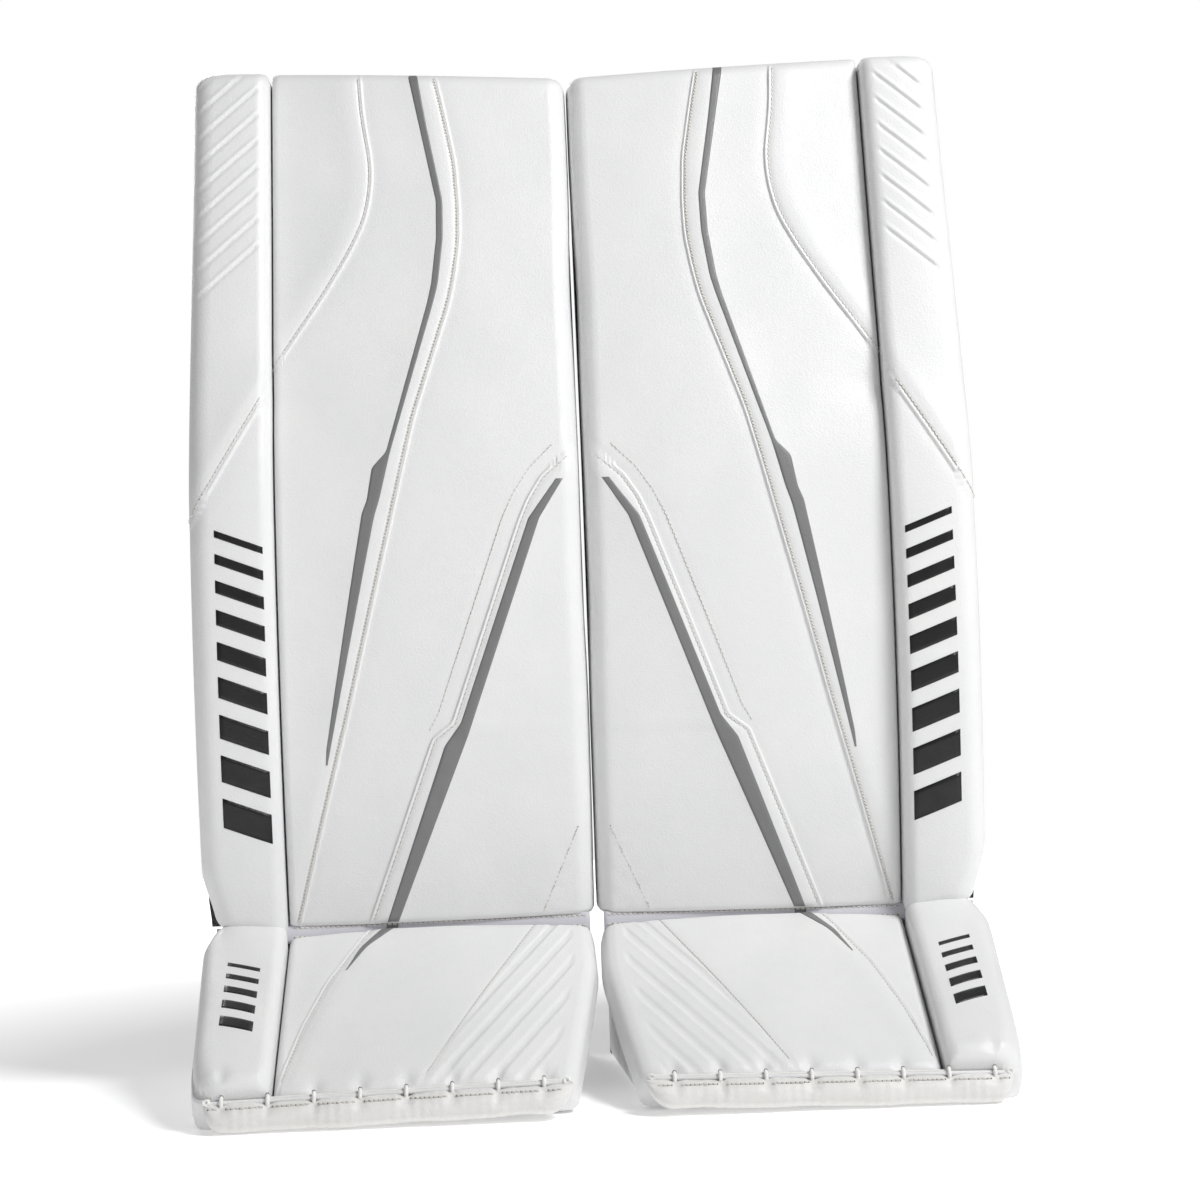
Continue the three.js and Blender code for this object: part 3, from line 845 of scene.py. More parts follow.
def inlay(block, low_edge, high_edge, span):
    """A thin patch draped on a block between two edge lines, over a span of heights."""
    heights = steps(*span, 1.6)[:, None]
    share = np.linspace(0, 1, 6)[None, :]
    low = low_edge(heights)
    high = np.maximum(high_edge(heights), low + 0.25)
    u = low * (1 - share) + high * share
    rim = np.abs(share * 2 - 1) > 0.99
    lift = PRINT_LIFT - 0.6 * rim * PRINT_LIFT
    return sheet_body(block.point(u, heights, lift), block.point(u, heights, -PRINT_BED))


def evenly(path, pitch):
    """Points every pitch along a path of (u, z) and their directions."""
    lengths = lengths_along(path)
    places = np.arange(pitch / 2, lengths[-1], pitch)
    directions = points_at(path, lengths, places + 0.5) - points_at(path, lengths, places - 0.5)
    directions = directions / np.linalg.norm(directions, axis=1)[:, None]
    return points_at(path, lengths, places), directions


def beside(line, low, high, offset=0.0):
    """The path that runs beside a line at a constant distance, from one height to another."""
    heights = steps(low, high, 2.0)
    stretch = np.sqrt(1 + slope_of(line, heights) ** 2)
    return np.stack([line(heights) + offset * stretch, heights], axis=-1)


STITCH_PITCH = 3.7
STITCH_LENGTH = 2.5
THREAD_SIZE = 0.58                             # radius of the leather's thread


def stitch(start, end, normal, size=THREAD_SIZE):
    """One stitch: a short bowed thread from hole to hole."""
    share = np.linspace(0, 1, 4)[:, None]
    bow = normal * size * (1.1 * np.sin(math.pi * share) - 0.35)
    return tube_body(start * (1 - share) + end * share + bow, size, sides=5)


def shade_disc(centre, normal, along, size=0.62):
    """A small disc at a needle hole, to carry the painted shade of the hole."""
    other = np.cross(normal, along)
    ring = [centre + size * (math.cos(a) * along + math.sin(a) * other)
            for a in np.arange(6) / 6 * 2 * math.pi]
    points = np.array([centre + 0.16 * normal, *ring, centre - 0.5 * normal])
    faces = [(0, 1 + k, 1 + (k + 1) % 6) for k in range(6)]
    faces += [(7, 1 + (k + 1) % 6, 1 + k) for k in range(6)]
    return points, faces


def stitches(block, path, pitch=STITCH_PITCH, slant=0.0, length=STITCH_LENGTH):
    """A row of stitches along a path of (u, z) on a block, with a disc of painted shade at each needle
    hole.
    """
    threads, hole_shades = [], []
    points, directions = evenly(path, pitch)
    for (u, z), (du, dz) in zip(points, directions):
        turned = np.array([du * math.cos(slant) - dz * math.sin(slant),
                           du * math.sin(slant) + dz * math.cos(slant)])
        a = block.point(u - turned[0] * length / 2, z - turned[1] * length / 2)
        b = block.point(u + turned[0] * length / 2, z + turned[1] * length / 2)
        side_step = block.point(u + turned[1], z - turned[0]) - block.point(u, z)
        normal = np.cross(b - a, side_step)
        normal /= np.linalg.norm(normal)
        if normal[1] > 0:
            normal = -normal
        threads.append(stitch(a, b, normal))
        gap = block.point(u + du * pitch / 2, z + dz * pitch / 2)
        hole_shades.append(shade_disc(gap, normal, (b - a) / np.linalg.norm(b - a)))
    return threads, hole_shades


def sewn(name, body, side, block, rows):
    """All the stitching of one block, as one piece of thread and one of painted shade at its needle holes.
    """
    threads, hole_shades = [], []
    for path, options in rows:
        more_threads, more_hole_shades = stitches(block, path, **options)
        threads += more_threads
        hole_shades += more_hole_shades
    piece(f"{name}_thread", body, THREAD, side, joined(threads))
    # Painted shade at the needle holes.
    piece(f"{name}_needle_holes", body, PAINTED_HOLE_SHADE, side, joined(hole_shades))


# ---------------------------------------------------------------- the leg
def make_leg(side):
    """Face and outer roll of the leg, with their stripes and stitching."""
    face = leg.body(leg_columns, lambda z: 2.6)
    piece("face", "leg", WHITE, side, face,
          ("face_cover", "main_core", "side_panel", "stiffener_board"))
    outer = roll.body(even_columns(46), roll_step)
    piece("outer_roll", "leg", WHITE, side, outer, ("roll_cover", "roll_core"))
    stripe_1 = inlay(leg, STRIPE_1_INNER, STRIPE_1_OUTER, (230, LEG_HIGH - 0.6))
    stripe_2 = inlay(leg, STRIPE_2_INNER, STRIPE_2_OUTER, (LEG_LOW + 1.2, 430))
    piece("long_stripe", "leg", GREY, side, stripe_1)
    piece("knee_stripe", "leg", GREY, side, stripe_2)
    top = LEG_HIGH - 6
    zigzag = {"pitch": 2.6, "slant": math.radians(38), "length": 2.9}
    sewn("face", "leg", side, leg, [
        (beside(SEAM_1, SEAM_1_FOOT, top, STITCH_INSET), {}),
        (beside(SEAM_2, LEG_LOW + 3, top, STITCH_INSET), zigzag),
        (beside(SEAM_3, LEG_LOW + 3, SEAM_3_TOP - 6, -STITCH_INSET), {}),
        (beside(SPARE_ROW, SPARE_FOOT, SEAM_3_TOP + 3), {}),
        (beside(CORNER_SEAM, LEG_LOW + 4, 178), {}),
    ])
    (u0, z0), (u1, z1) = OVERLAP
    slant = math.hypot(u1 - u0, z1 - z0)
    lift = np.array([(z0 - z1) / slant, (u1 - u0) / slant]) * STITCH_INSET
    overlap_path = np.linspace((u0 + 1, z0), (u1 + 1, z1), 40) + lift
    sewn("roll", "leg", side, roll, [(overlap_path, {})])


# ---------------------------------------------------------------- the boot
def make_boot(side):
    """Face, outer roll and lining of the boot, with its stripe and stitching."""
    face = boot.body(boot_columns, lambda v: 1.6)
    piece("boot_face", "boot", WHITE, side, face, ("boot_cover", "boot_core"))
    outer = boot_roll.body(even_columns(34), lambda v: 2.2)
    piece("boot_outer_roll", "boot", WHITE, side, outer,
          ("boot_roll_cover", "boot_roll_core"))
    v = steps(-BOOT_LENGTH + 5, -8, 5)[:, None]
    share = np.linspace(0, 1, 40)[None, :]
    u = (BOOT_INNER(v) + 5) * (1 - share) + (BOOT_OUTER(v) - 4) * share
    under = sheet_body(on_boot(u, UNDER_BOOT[0], v), on_boot(u, UNDER_BOOT[1], v))
    piece("boot_lining_under", "boot", NYLON, side, under)
    tail = inlay(boot, BOOT_STRIPE_INNER, BOOT_STRIPE_OUTER, (-53, -2.5))
    piece("boot_stripe", "boot", GREY, side, tail)
    sewn("boot", "boot", side, boot, [
        (beside(BOOT_SEAM_3, -BOOT_LENGTH + 10, -4, -STITCH_INSET), {}),
        (beside(BOOT_CORNER_SEAM, -BOOT_LENGTH + 8, -3), {}),
    ])


# ---------------------------------------------------------------- toe roll, its piping and its lace
TOE_ENDS = (toe_low[0] - HALF_GAP, toe_high[0] - HALF_GAP)
TOE_ROUNDS = (18.0, 11.0)                      # how far its inner and outer end round over
TOE_SIDES = 40
PIPING = 1.5
LACE_THICK = 1.35
TOE_CLEAR = 0.12                               # the roll comes no closer to the floor
TOE_CREASE = math.radians(136)                 # where round the roll its crease runs
BAND_PITCH = 3.0
BAND_STITCH = 2.1


def piping_line(u):
    """Centre of the piping that closes the boot's lower edge."""
    return on_boot(u, 0.8, -(BOOT_LENGTH + toe_drop(u) + 2.2))


def toe_roll_ring(u):
    """One section of the toe roll: full and round, hung from the piping and resting on the floor."""
    piping = piping_line(u)
    top = piping[2] - 0.4
    full = (top - 0.4) / 2
    scale = 1.0
    for end, size in zip(TOE_ENDS, TOE_ROUNDS):
        share = np.clip(1 - abs(u - end) / size, 0, 1)
        scale = min(scale, math.sqrt(max(1 - share**2, 0.0)))
    angles = np.arange(TOE_SIDES) / TOE_SIDES * 2 * math.pi
    wide, high = np.cos(angles), np.sin(angles)
    squared = [np.sign(part) * np.abs(part) ** 0.95 for part in (wide, high)]
    wrinkles = 0.15 * math.sin(u / 1.05 + 1.5 * math.sin(u / 17)) * (0.6 + 0.4 * math.sin(u / 9.0))
    wrinkles = wrinkles + 0.5 * math.sin(u / 12.0) + 0.16 * math.sin(u / 5.3)
    pinch = sum(1.6 * bell(u - lace_u, 4.0) for lace_u in LACE_U)
    swell = 1 + (wrinkles - pinch * ramp(high, -0.2, 0.8)) / full
    size = scale * swell
    y = (piping[1] + TOE_Y - 1.5) / 2 - 0.6 + (full + 0.2) * size * squared[0]
    y = y + 0.9 * bell(angles - TOE_CREASE, 0.14)
    lift = 3.5 * (1 - ramp(u, TOE_ENDS[0], SEAM)) * np.clip(-squared[1], 0, 1)
    z = top - full * scale + full * size * squared[1] + lift
    return np.stack([np.full(TOE_SIDES, u), y, np.maximum(z, TOE_CLEAR)], axis=-1)


def toe_places():
    """Places along the toe roll, closer at its rounded ends."""
    low, high = TOE_ENDS
    turns = np.linspace(0, math.pi / 2, 9)
    start = low + TOE_ROUNDS[0] * (1 - np.cos(turns)) + 0.05
    end = high - TOE_ROUNDS[1] * (1 - np.cos(turns))[::-1] - 0.05
    return np.concatenate([start[:-1], steps(start[-1], end[0], 1.1), end[1:]])


def band_stitches():
    """The row of stitches that runs just below the piping."""
    threads, hole_shades = [], []
    along = np.array([1.0, 0.0, 0.0])
    normal = np.array([0.0, -0.93, 0.36])
    half = along * BAND_STITCH / 2
    for u in np.arange(TOE_ENDS[0] + 9, TOE_ENDS[1] - 5, BAND_PITCH):
        ring = toe_roll_ring(u)[TOE_SIDES // 4:TOE_SIDES // 2 + 1][::-1]
        height = piping_line(u)[2] - 2.8
        centre = np.array([u, np.interp(height, ring[:, 2], ring[:, 1]) - 0.1, height])
        if min(abs(u - lace_u) for lace_u in LACE_U) > 2.2:
            threads.append(stitch(centre - half, centre + half, normal))
            # A disc of painted shade at the needle hole after each stitch.
            hole_shades.append(shade_disc(centre + along * BAND_PITCH / 2 + normal * 0.12, normal, along, 0.6))
    return joined(threads), joined(hole_shades)


def lace_loop(u):
    """One turn of the lace: out of the boot, over the piping and into the toe roll."""
    centre = piping_line(u) + np.array([0, 0.4, -1.4])
    turns = np.radians(np.linspace(118, -78, 12))
    path = [centre + np.array([0, -3.6 * math.cos(a), 5.2 * math.sin(a)]) for a in turns]
    return tube_body(path, LACE_THICK, sides=8)


def lace_mouth_shades():
    """Discs of painted shade where each turn of the lace goes into the boot and into the toe roll."""
    hole_shades = []
    for u in LACE_U:
        centre = piping_line(u)
        for up, size in ((4.4, 1.5), (-7.0, 1.1)):
            mouth = centre + np.array([0, -0.8 - 0.9 * (up < 0), up * 0.92])
            hole_shades.append(shade_disc(mouth, np.array([0, -1.0, 0.2]), np.array([1.0, 0, 0]), size))
    return hole_shades


def lace_run():
    """The lace between its loops, lying in the furrow behind the piping, with a knot at each end."""
    places_u = steps(LACE_U[0] - 16, LACE_U[-1] + 9, 3.0)
    path = [piping_line(u) + np.array([0, 2.6, 1.2]) for u in places_u]
    turns = np.linspace(0, 4.2 * math.pi, 26)
    coil = [(1.6 * math.cos(a) + a / 9, -0.6 - a / 14, 1.2 + 1.7 * math.sin(a)) for a in turns]
    knots = []
    for u in (places_u[0], places_u[-1]):
        knots.append(tube_body(piping_line(u) + np.array(coil), 0.8, sides=6))
    return joined([tube_body(path, 0.9, sides=6), *knots])


def make_toe(side):
    """The bumper under the toe, its piping, its lace and its stitching."""
    bumper = capped([toe_roll_ring(u) for u in toe_places()])
    piece("toe_bumper", "boot", CREAM, side, bumper, ("toe_roll",))
    welt = [piping_line(u) for u in steps(TOE_ENDS[0] + 1.5, TOE_ENDS[1] - 1, 2.5)]
    piece("toe_piping", "boot", WHITE, side, tube_body(welt, PIPING, sides=12))
    loops = [lace_loop(u) for u in LACE_U] + [lace_run()]
    piece("toe_lace", "boot", LACE, side, joined(loops), ("toe_lacing",))
    threads, hole_shades = band_stitches()
    piece("toe_thread", "boot", THREAD, side, threads)
    # Painted shade at the needle holes and where the lace goes in.
    piece("toe_needle_holes", "boot", PAINTED_HOLE_SHADE, side, joined([hole_shades, *lace_mouth_shades()]))


# ---------------------------------------------------------------- the strip at the ankle between boot and leg
STRIP_TOP = 116.5
STRIP_FOOT = -2.5                              # where it meets the boot, in the boot's own measure
STRIP_DEEP = 1.6
STRIP_ROWS = (0.22, 0.80)                      # where its two rows of stitches run, as shares


def strip_point(u, share, lift=0.0):
    """A point of the ankle strip: share 0 is its edge on the boot and 1 its edge on the leg."""
    u, share = np.broadcast_arrays(u, share)
    low = on_boot(u, -STRIP_DEEP + lift, STRIP_FOOT - 2.0 * u / SEAM)
    high = on_leg(u, -STRIP_DEEP + lift, STRIP_TOP - 2.0 * u / SEAM)
    share = share[..., None]
    swell = np.zeros_like(low * share)
    swell[..., 1] = -1.3 * np.sin(math.pi * share[..., 0])
    return low * (1 - share) + high * share + swell


def flexing(name, finish, side, shape, stands_for=()):
    """A piece of the ankle that spans from the boot to the leg."""
    ends = [[SEAM / 2, BREAK_Y, BREAK_Z - 3.5], [SEAM / 2, BREAK_Y, STRIP_TOP - 1]]
    bending(name, finish, side, shape, ends, stands_for)


def make_ankle(side):
    """The strip that closes the gap between boot and leg, with the stripe that crosses it."""
    u = steps(3.0, WIDTH - 8, 3.0)[None, :]
    share = np.linspace(0, 1, 9)[:, None]
    whole = sheet_body(strip_point(u, share), strip_point(u, share, -2.4))
    flexing("ankle_strip", STRIP, side, whole, ("ankle_gusset",))
    lanes = np.linspace(0, 1, 5)[None, :]
    foot = float(BOOT_STRIPE_INNER(-1.0)), float(BOOT_STRIPE_OUTER(-1.0))
    top = float(STRIPE_2_INNER(LEG_LOW)), float(STRIPE_2_OUTER(LEG_LOW))
    patch_u = (foot[0] * (1 - lanes) + foot[1] * lanes) * (1 - share)
    patch_u = patch_u + (top[0] * (1 - lanes) + top[1] * lanes) * share
    patch = sheet_body(strip_point(patch_u, share, 0.25), strip_point(patch_u, share, -0.6))
    flexing("ankle_stripe", GREY, side, patch)
    threads, hole_shades = [], []
    for row in STRIP_ROWS:
        for centre_u in np.arange(7, SEAM - 3, STITCH_PITCH):
            start, end = strip_point([centre_u - 1.2, centre_u + 1.2], row)
            threads.append(stitch(start, end, np.array([0, -1.0, 0])))
            gap = strip_point(centre_u + STITCH_PITCH / 2, row)
            # A disc of painted shade at the needle hole after each stitch.
            hole_shades.append(shade_disc(gap, np.array([0, -1.0, 0]), np.array([1.0, 0, 0])))
    flexing("ankle_thread", THREAD, side, joined(threads))
    # Painted shade at the needle holes of the strip.
    flexing("ankle_needle_holes", PAINTED_HOLE_SHADE, side, joined(hole_shades))


# ---------------------------------------------------------------- printed bars on the rolls
BAR_AREA = (227.0, 261.0, 176.0, 400.0)        # u and z of the bars on the leg's roll
BOOT_BAR_AREA = (235.0, 258.0, -138.0, -56.0)
BAR_LIFT = 0.22


def bars(block, area, count, rise, thick, thin):
    """A ladder of slanting bars that grow thinner upward."""
    u0, u1, low, high = area
    heights = np.linspace(thick, thin, count)
    gap = (high - low - rise - heights.sum()) / (count - 1)
    across_bar = np.linspace(0, 1, 9)[None, :]
    up_bar = np.linspace(0, 1, 7)[:, None]
    foot, bodies = low, []
    for height in heights:
        u = u0 + (u1 - u0) * across_bar
        z = foot + rise * across_bar + height * up_bar
        bodies.append(sheet_body(block.point(u, z, BAR_LIFT), block.point(u, z, -PRINT_BED)))
        foot += height + gap
    return joined(bodies)


def make_bars(side):
    """Plain printed bars on both rolls."""
    leg_ladder = bars(roll, BAR_AREA, count=9, rise=13.0, thick=21.0, thin=5.0)
    piece("roll_bars", "leg", BLACK_PRINT, side, leg_ladder)
    boot_ladder = bars(boot_roll, BOOT_BAR_AREA, count=5, rise=8.0, thick=11.0, thin=4.0)
    piece("boot_bars", "boot", BLACK_PRINT, side, boot_ladder)


# ---------------------------------------------------------------- padding puffed up by cloth simulation
CLOTH_FRAMES = 20
CLOTH_PRESSURE = 4.0
CLOTH_REACH = 4.5                              # no point of the cloth moves further than this
PADDING_VOXEL = 5.5


def pad_points(mesh):
    """A mesh's points in the left pad's own millimetres."""
    points = np.empty(len(mesh.vertices) * 3)
    mesh.vertices.foreach_get("co", points)
    points = points.reshape(-1, 3) / MM
    points[:, 0] -= HALF_GAP
    points[:, 1] -= SHIFT_Y
    return points


def settled(shape):
    """The mesh of an object with its modifiers applied; the object is removed."""
    bpy.context.view_layer.update()
    graph = bpy.context.evaluated_depsgraph_get()
    mesh = bpy.data.meshes.new_from_object(shape.evaluated_get(graph))
    bpy.data.objects.remove(shape)
    return mesh


def loose_object(mesh):
    """A passing object that carries a mesh while its modifiers work."""
    shape = bpy.data.objects.new("padding", mesh)
    bpy.context.scene.collection.objects.link(shape)
    return shape


def inflated(mesh):
    """A closed mesh blown up by the cloth simulation, and its points."""
    shape = loose_object(mesh)
    cloth = shape.modifiers.new("cloth", "CLOTH")
    cloth.settings.use_pressure = True
    cloth.settings.uniform_pressure_force = CLOTH_PRESSURE
    cloth.settings.effector_weights.gravity = 0
    cloth.settings.tension_stiffness = 12
    cloth.settings.bending_stiffness = 0.4
    cloth.point_cache.frame_end = CLOTH_FRAMES
    start = pad_points(mesh)
    for number in range(1, CLOTH_FRAMES + 1):
        bpy.context.scene.frame_set(number)
    graph = bpy.context.evaluated_depsgraph_get()
    puffed = bpy.data.meshes.new_from_object(shape.evaluated_get(graph))
    moved = pad_points(puffed) - start
    bpy.data.objects.remove(shape)
    bpy.context.scene.frame_set(1)
    size = np.linalg.norm(moved, axis=1)[:, None]
    return puffed, start + moved * np.minimum(1, CLOTH_REACH / np.maximum(size, 1e-6))


def set_points(mesh, points):
    """Writes points in the left pad's own millimetres back into a mesh."""
    mesh.vertices.foreach_set("co", place(points, "left").ravel())
    mesh.update()


def normals_of(mesh):
    """The direction in which each point of a mesh faces."""
    normals = np.empty(len(mesh.vertices) * 3)
    mesh.vertices.foreach_get("normal", normals)
    return normals.reshape(-1, 3)


def padding_shape(node, grow, sewing, inset=2.2):
    """A soft part made from its CAD solid: drawn in by inset, puffed, flat where it rests, then sewn.

    grow is how far it may swell past the solid toward the front, the back, and the inner side.
    """
    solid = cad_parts[f"left_{node}"].data.copy()
    limits = pad_points(solid)
    depth = limits[:, 1] - face_y(limits[:, 2])
    shape = loose_object(solid)
    remesh = shape.modifiers.new("remesh", "REMESH")
    remesh.mode = "VOXEL"
    remesh.voxel_size = PADDING_VOXEL * MM
    soften = shape.modifiers.new("soften", "SMOOTH")
    soften.iterations = 6
    mesh = settled(shape)
    points = pad_points(mesh) - inset * normals_of(mesh)
    set_points(mesh, points)
    mesh, points = inflated(mesh)
    points[:, 0] = np.maximum(points[:, 0], limits[:, 0].min() - grow[2])
    near, far = depth.min() - grow[0], depth.max() + grow[1]
    points[:, 1] = face_y(points[:, 2]) + np.clip(points[:, 1] - face_y(points[:, 2]), near, far)
    set_points(mesh, points)
    shape = loose_object(mesh)
    finer = shape.modifiers.new("finer", "SUBSURF")
    finer.levels = 1
    mesh = settled(shape)
    points = pad_points(mesh)
    points = points - sewing(points)[:, None] * normals_of(mesh)
    return points, [tuple(polygon.vertices) for polygon in mesh.polygons]


def channels(heights, depth, width):
    """Sewing that draws a padded part in along level lines."""
    def sewing(points):
        total = 0.0
        for height in heights:
            total = total + depth * bell(points[:, 2] - height, width)
        return total
    return sewing


# ---------------------------------------------------------------- back of the leg
SHIN_PAD = (86, 196, 150, 385)                 # u and z of each cushion's outline
KNEE_PAD = (84, 238, 422, 540)
KNEE_BLOCK = (8, 76, 418, 500)
WRAP_ROOT = (11, 29, 163, 352)
TAB_AREA = (256, 279, 100, 163)
WING_ROOTS = ((250, 270, 160, 355), (246, 266, 422, 520))
LINER = (3.0, 275.0, 124.0, 737.0)
LINER_BORDER = (1.5, 276.5, 120.0, 740.0)      # the line of the piping round the liner
LINER_DEPTH = 47.0
BORDER_PIPING = 2.6
CUSHION_PIPING = 1.7
CUSHION_FOOT = 50.6                            # depth at which a cushion's piping lies
QUILT_PITCH = 52.0
REST_DEPTH = 49.4                              # the liner stays in front of this under the cushions
WING_START = 54.0                              # depth at which a wing's piping begins
WING_TURN = 34.0                               # radius of a wing's curl


def behind(u, depth, z):
    """A point at a depth behind the leg's face line."""
    return on_leg(u, -np.asarray(depth, float), z)


def clear_of(u, z, area):
    """1 outside a rectangle of u and z and 0 inside it, with a 5 mm change between them."""
    inside_u = ramp(u, area[0] - 5, area[0]) * (1 - ramp(u, area[1], area[1] + 5))
    inside_z = ramp(z, area[2] - 5, area[2]) * (1 - ramp(z, area[3], area[3] + 5))
    return 1 - inside_u * inside_z


def liner_depth(u, z):
    """The quilted back: puffed diamonds between slanting seams, flat under the cushions."""
    free = ramp(u, LINER[0], LINER[0] + 7) * (1 - ramp(u, LINER[1] - 7, LINER[1]))
    free = free * ramp(z, LINER[2], LINER[2] + 7) * (1 - ramp(z, LINER[3] - 7, LINER[3]))
    for area in (SHIN_PAD, KNEE_PAD, KNEE_BLOCK, WRAP_ROOT, TAB_AREA, *WING_ROOTS):
        free = free * clear_of(u, z, area)
    quilt = 1.0
    for lean in (1, -1):
        seam = np.abs(np.mod((z + lean * u * 0.9) / QUILT_PITCH, 1) - 0.5) * 2
        quilt = quilt * (1 - 0.85 * bell(1 - seam, 0.13))
    return REST_DEPTH - 0.2 + 3.4 * quilt * free


def liner_shape():
    """The quilted liner as a closed body."""
    u = steps(LINER[0], LINER[1], 4.2)[None, :]
    z = steps(LINER[2], LINER[3], 4.2)[:, None]
    return sheet_body(behind(u, liner_depth(u, z), z), behind(u, LINER_DEPTH, z))


def rounded_loop(area, corner, grow=0.0):
    """Points (u, z) round a rectangle with round corners."""
    u0, u1, z0, z1 = area[0] - grow, area[1] + grow, area[2] - grow, area[3] + grow
    loop = []
    centres = ((u1 - corner, z0 + corner, -90), (u1 - corner, z1 - corner, 0),
               (u0 + corner, z1 - corner, 90), (u0 + corner, z0 + corner, 180))
    for k, (u, z, start) in enumerate(centres):
        for angle in np.radians(np.linspace(start, start + 90, 7)):
            loop.append((u + corner * math.cos(angle), z + corner * math.sin(angle)))
        following = centres[(k + 1) % 4]
        angle = math.radians(following[2])
        target = (following[0] + corner * math.cos(angle), following[1] + corner * math.sin(angle))
        count = max(2, int(math.dist(loop[-1], target) / 5.0))
        here = np.array(loop[-1])
        loop += [tuple(here + (np.array(target) - here) * k / count) for k in range(1, count)]
    return np.array(loop)


def binding(area, depth, radius, grow=0.0):
    """Piping round an outline at a depth behind the face."""
    loop = rounded_loop(area, 9.0, grow)
    return tube_body(behind(loop[:, 0], depth, loop[:, 1]), radius, closed=True)


FINE_THREAD = 0.38                             # radius of the thread on cloth and webbing


def stitched_path(path, outward, pitch=4.2, length=2.7):
    """Stitches along a path of points, where outward is the direction away from the fabric."""
    path = np.asarray(path, float)
    lengths = lengths_along(path)
    places = np.arange(pitch / 2, lengths[-1] - length / 2, pitch)
    starts = points_at(path, lengths, places - length / 2)
    ends = points_at(path, lengths, places + length / 2)
    outward = np.array(outward, float)
    return [stitch(start, end, outward, FINE_THREAD) for start, end in zip(starts, ends)]


def liner_rows():
    """Seams of the liner: one just inside its border, and the row that holds each cushion."""
    rows = []
    areas = [(LINER, -6.5, 9.0), (SHIN_PAD, 6.0, 12.0), (KNEE_PAD, 6.0, 12.0), (KNEE_BLOCK, 4.0, 10.0)]
    for area, grow, corner in areas:
        loop = rounded_loop(area, corner, grow)
        loop = np.vstack([loop, loop[:1]])
        depth = liner_depth(loop[:, 0], loop[:, 1]) + 0.15
        rows += stitched_path(behind(loop[:, 0], depth, loop[:, 1]), (0, 1, 0))
    return rows


def wing_line(wall, tip, tip_depth):
    """Middle line of a wing in plan: straight back from the pad, then curled behind the leg."""
    toward = math.copysign(1, tip - wall)
    bend = tip_depth - WING_TURN
    line = [(wall, depth) for depth in steps(WING_START, bend, 8)[:-1]]
    for angle in np.linspace(0, math.pi / 2, 10):
        u = wall + toward * WING_TURN * (1 - math.cos(angle))
        line.append((u, bend + WING_TURN * math.sin(angle)))
    line += [(u, tip_depth) for u in steps(line[-1][0], tip, 8)[1:]]
    return np.array(line)


def wing_piping(line, z0, z1):
    """Piping along the free edges of a wing."""
    rise = steps(z0, z1, 8)
    points = [(u, depth, z0) for u, depth in line]
    points += [(*line[-1], z) for z in rise[1:-1]]
    points += [(u, depth, z1) for u, depth in line[::-1]]
    points = np.array(points)
    return tube_body(behind(points[:, 0], points[:, 1], points[:, 2]), BORDER_PIPING)


# Outline, material, swell, and the heights, depth and width of the sewn lines of each cushion.
CUSHIONS = {
    "shin_cushion": (SHIN_PAD, SUEDE, (0.0, 6.0, 2.0), ((197, 244, 291, 338), 3.2, 4.0), 2.2),
    "knee_pad": (KNEE_PAD, SUEDE, (0.0, 7.0, 2.0), ((468, 494), 2.8, 4.0), 2.2),
    "knee_block": (KNEE_BLOCK, NYLON, (0.0, 3.0, 5.0), ((445, 473), 1.8, 3.6), 1.5),
}
CALF_SEWING = ((205, 258, 311), 2.6, 3.6)
KNEE_SEWING = ((456, 486), 2.0, 3.4)
# Body, plan (wall, tip and the depth of the tip), heights and sewn lines of each wing.
WINGS = {
    "calf_wrap_inner": ("leg", (20, 84, 160.0), (165, 350), CALF_SEWING),
    "calf_wing": ("calf_wing", (260, 196, 160.0), (165, 350), CALF_SEWING),
    "knee_wing": ("knee_wing", (256, 204, 122.0), (426, 516), KNEE_SEWING),
}
WING_SWELL = (0.0, 0.0, 3.0)
WING_HALF = {"calf_wing": 10.4, "knee_wing": 8.4}
PADDING_SHRINK = 4.0                           # how far the sewn padding draws in from its outline


def soft_shapes():
    """Every simulated pad, once; the right pad uses the same shapes mirrored."""
    made = {}
    for name, (_, _, grow, sewing, inset) in CUSHIONS.items():
        made[name] = padding_shape(name, grow, channels(*sewing), inset)
    for name, (_, _, _, sewing) in WINGS.items():
        made[name] = padding_shape(name, WING_SWELL, channels(*sewing), inset=1.6)
    return made


def make_back(side, soft):
    """The liner, and the cushions and wings that are sewn to it."""
    piece("quilted_back", "leg", NYLON, side, liner_shape(), ("back_liner",))
    border = binding(LINER_BORDER, LINER_DEPTH + 0.2, BORDER_PIPING)
    piece("back_binding", "leg", BINDING, side, border)
    piece("liner_thread", "leg", GREY_THREAD, side, joined(liner_rows()))
    for name, (area, finish, _, _, _) in CUSHIONS.items():
        piece(f"{name}_padding", "leg", finish, side, soft[name], (name,))
        foot = binding(area, CUSHION_FOOT, CUSHION_PIPING, grow=0.6)
        piece(f"{name}_piping", "leg", BINDING, side, foot)
    for name, (body, (wall, tip, tip_depth), (z0, z1), _) in WINGS.items():
        piece(f"{name}_padding", body, NYLON, side, soft[name], (name,))
        free_edge = tip + math.copysign(PADDING_SHRINK, wall - tip)
        line = wing_line(wall, free_edge, tip_depth)
        edge = wing_piping(line, z0 + PADDING_SHRINK, z1 - PADDING_SHRINK)
        piece(f"{name}_piping", body, BINDING, side, edge)
        if body != "leg":
            make_hinge_cloth(side, body, float(wall) + WING_HALF[body], (z0 + 7.0, z1 - 8.0))


HINGE_FRONT = 46.8                             # depths between which the hinge cloth reaches
HINGE_DEEP = 66.0
HINGE_U = 276.0                                # where it starts, beside the liner's piping
HINGE_WAIST = 274.4                            # where it dips in behind that piping
HINGE_BEND = (272.0, 49.5)                     # u and depth of the bend's start, passed to bending(), which does not bend it
HINGE_BEND_LENGTH = 11.0
HINGE_THICK = 1.4


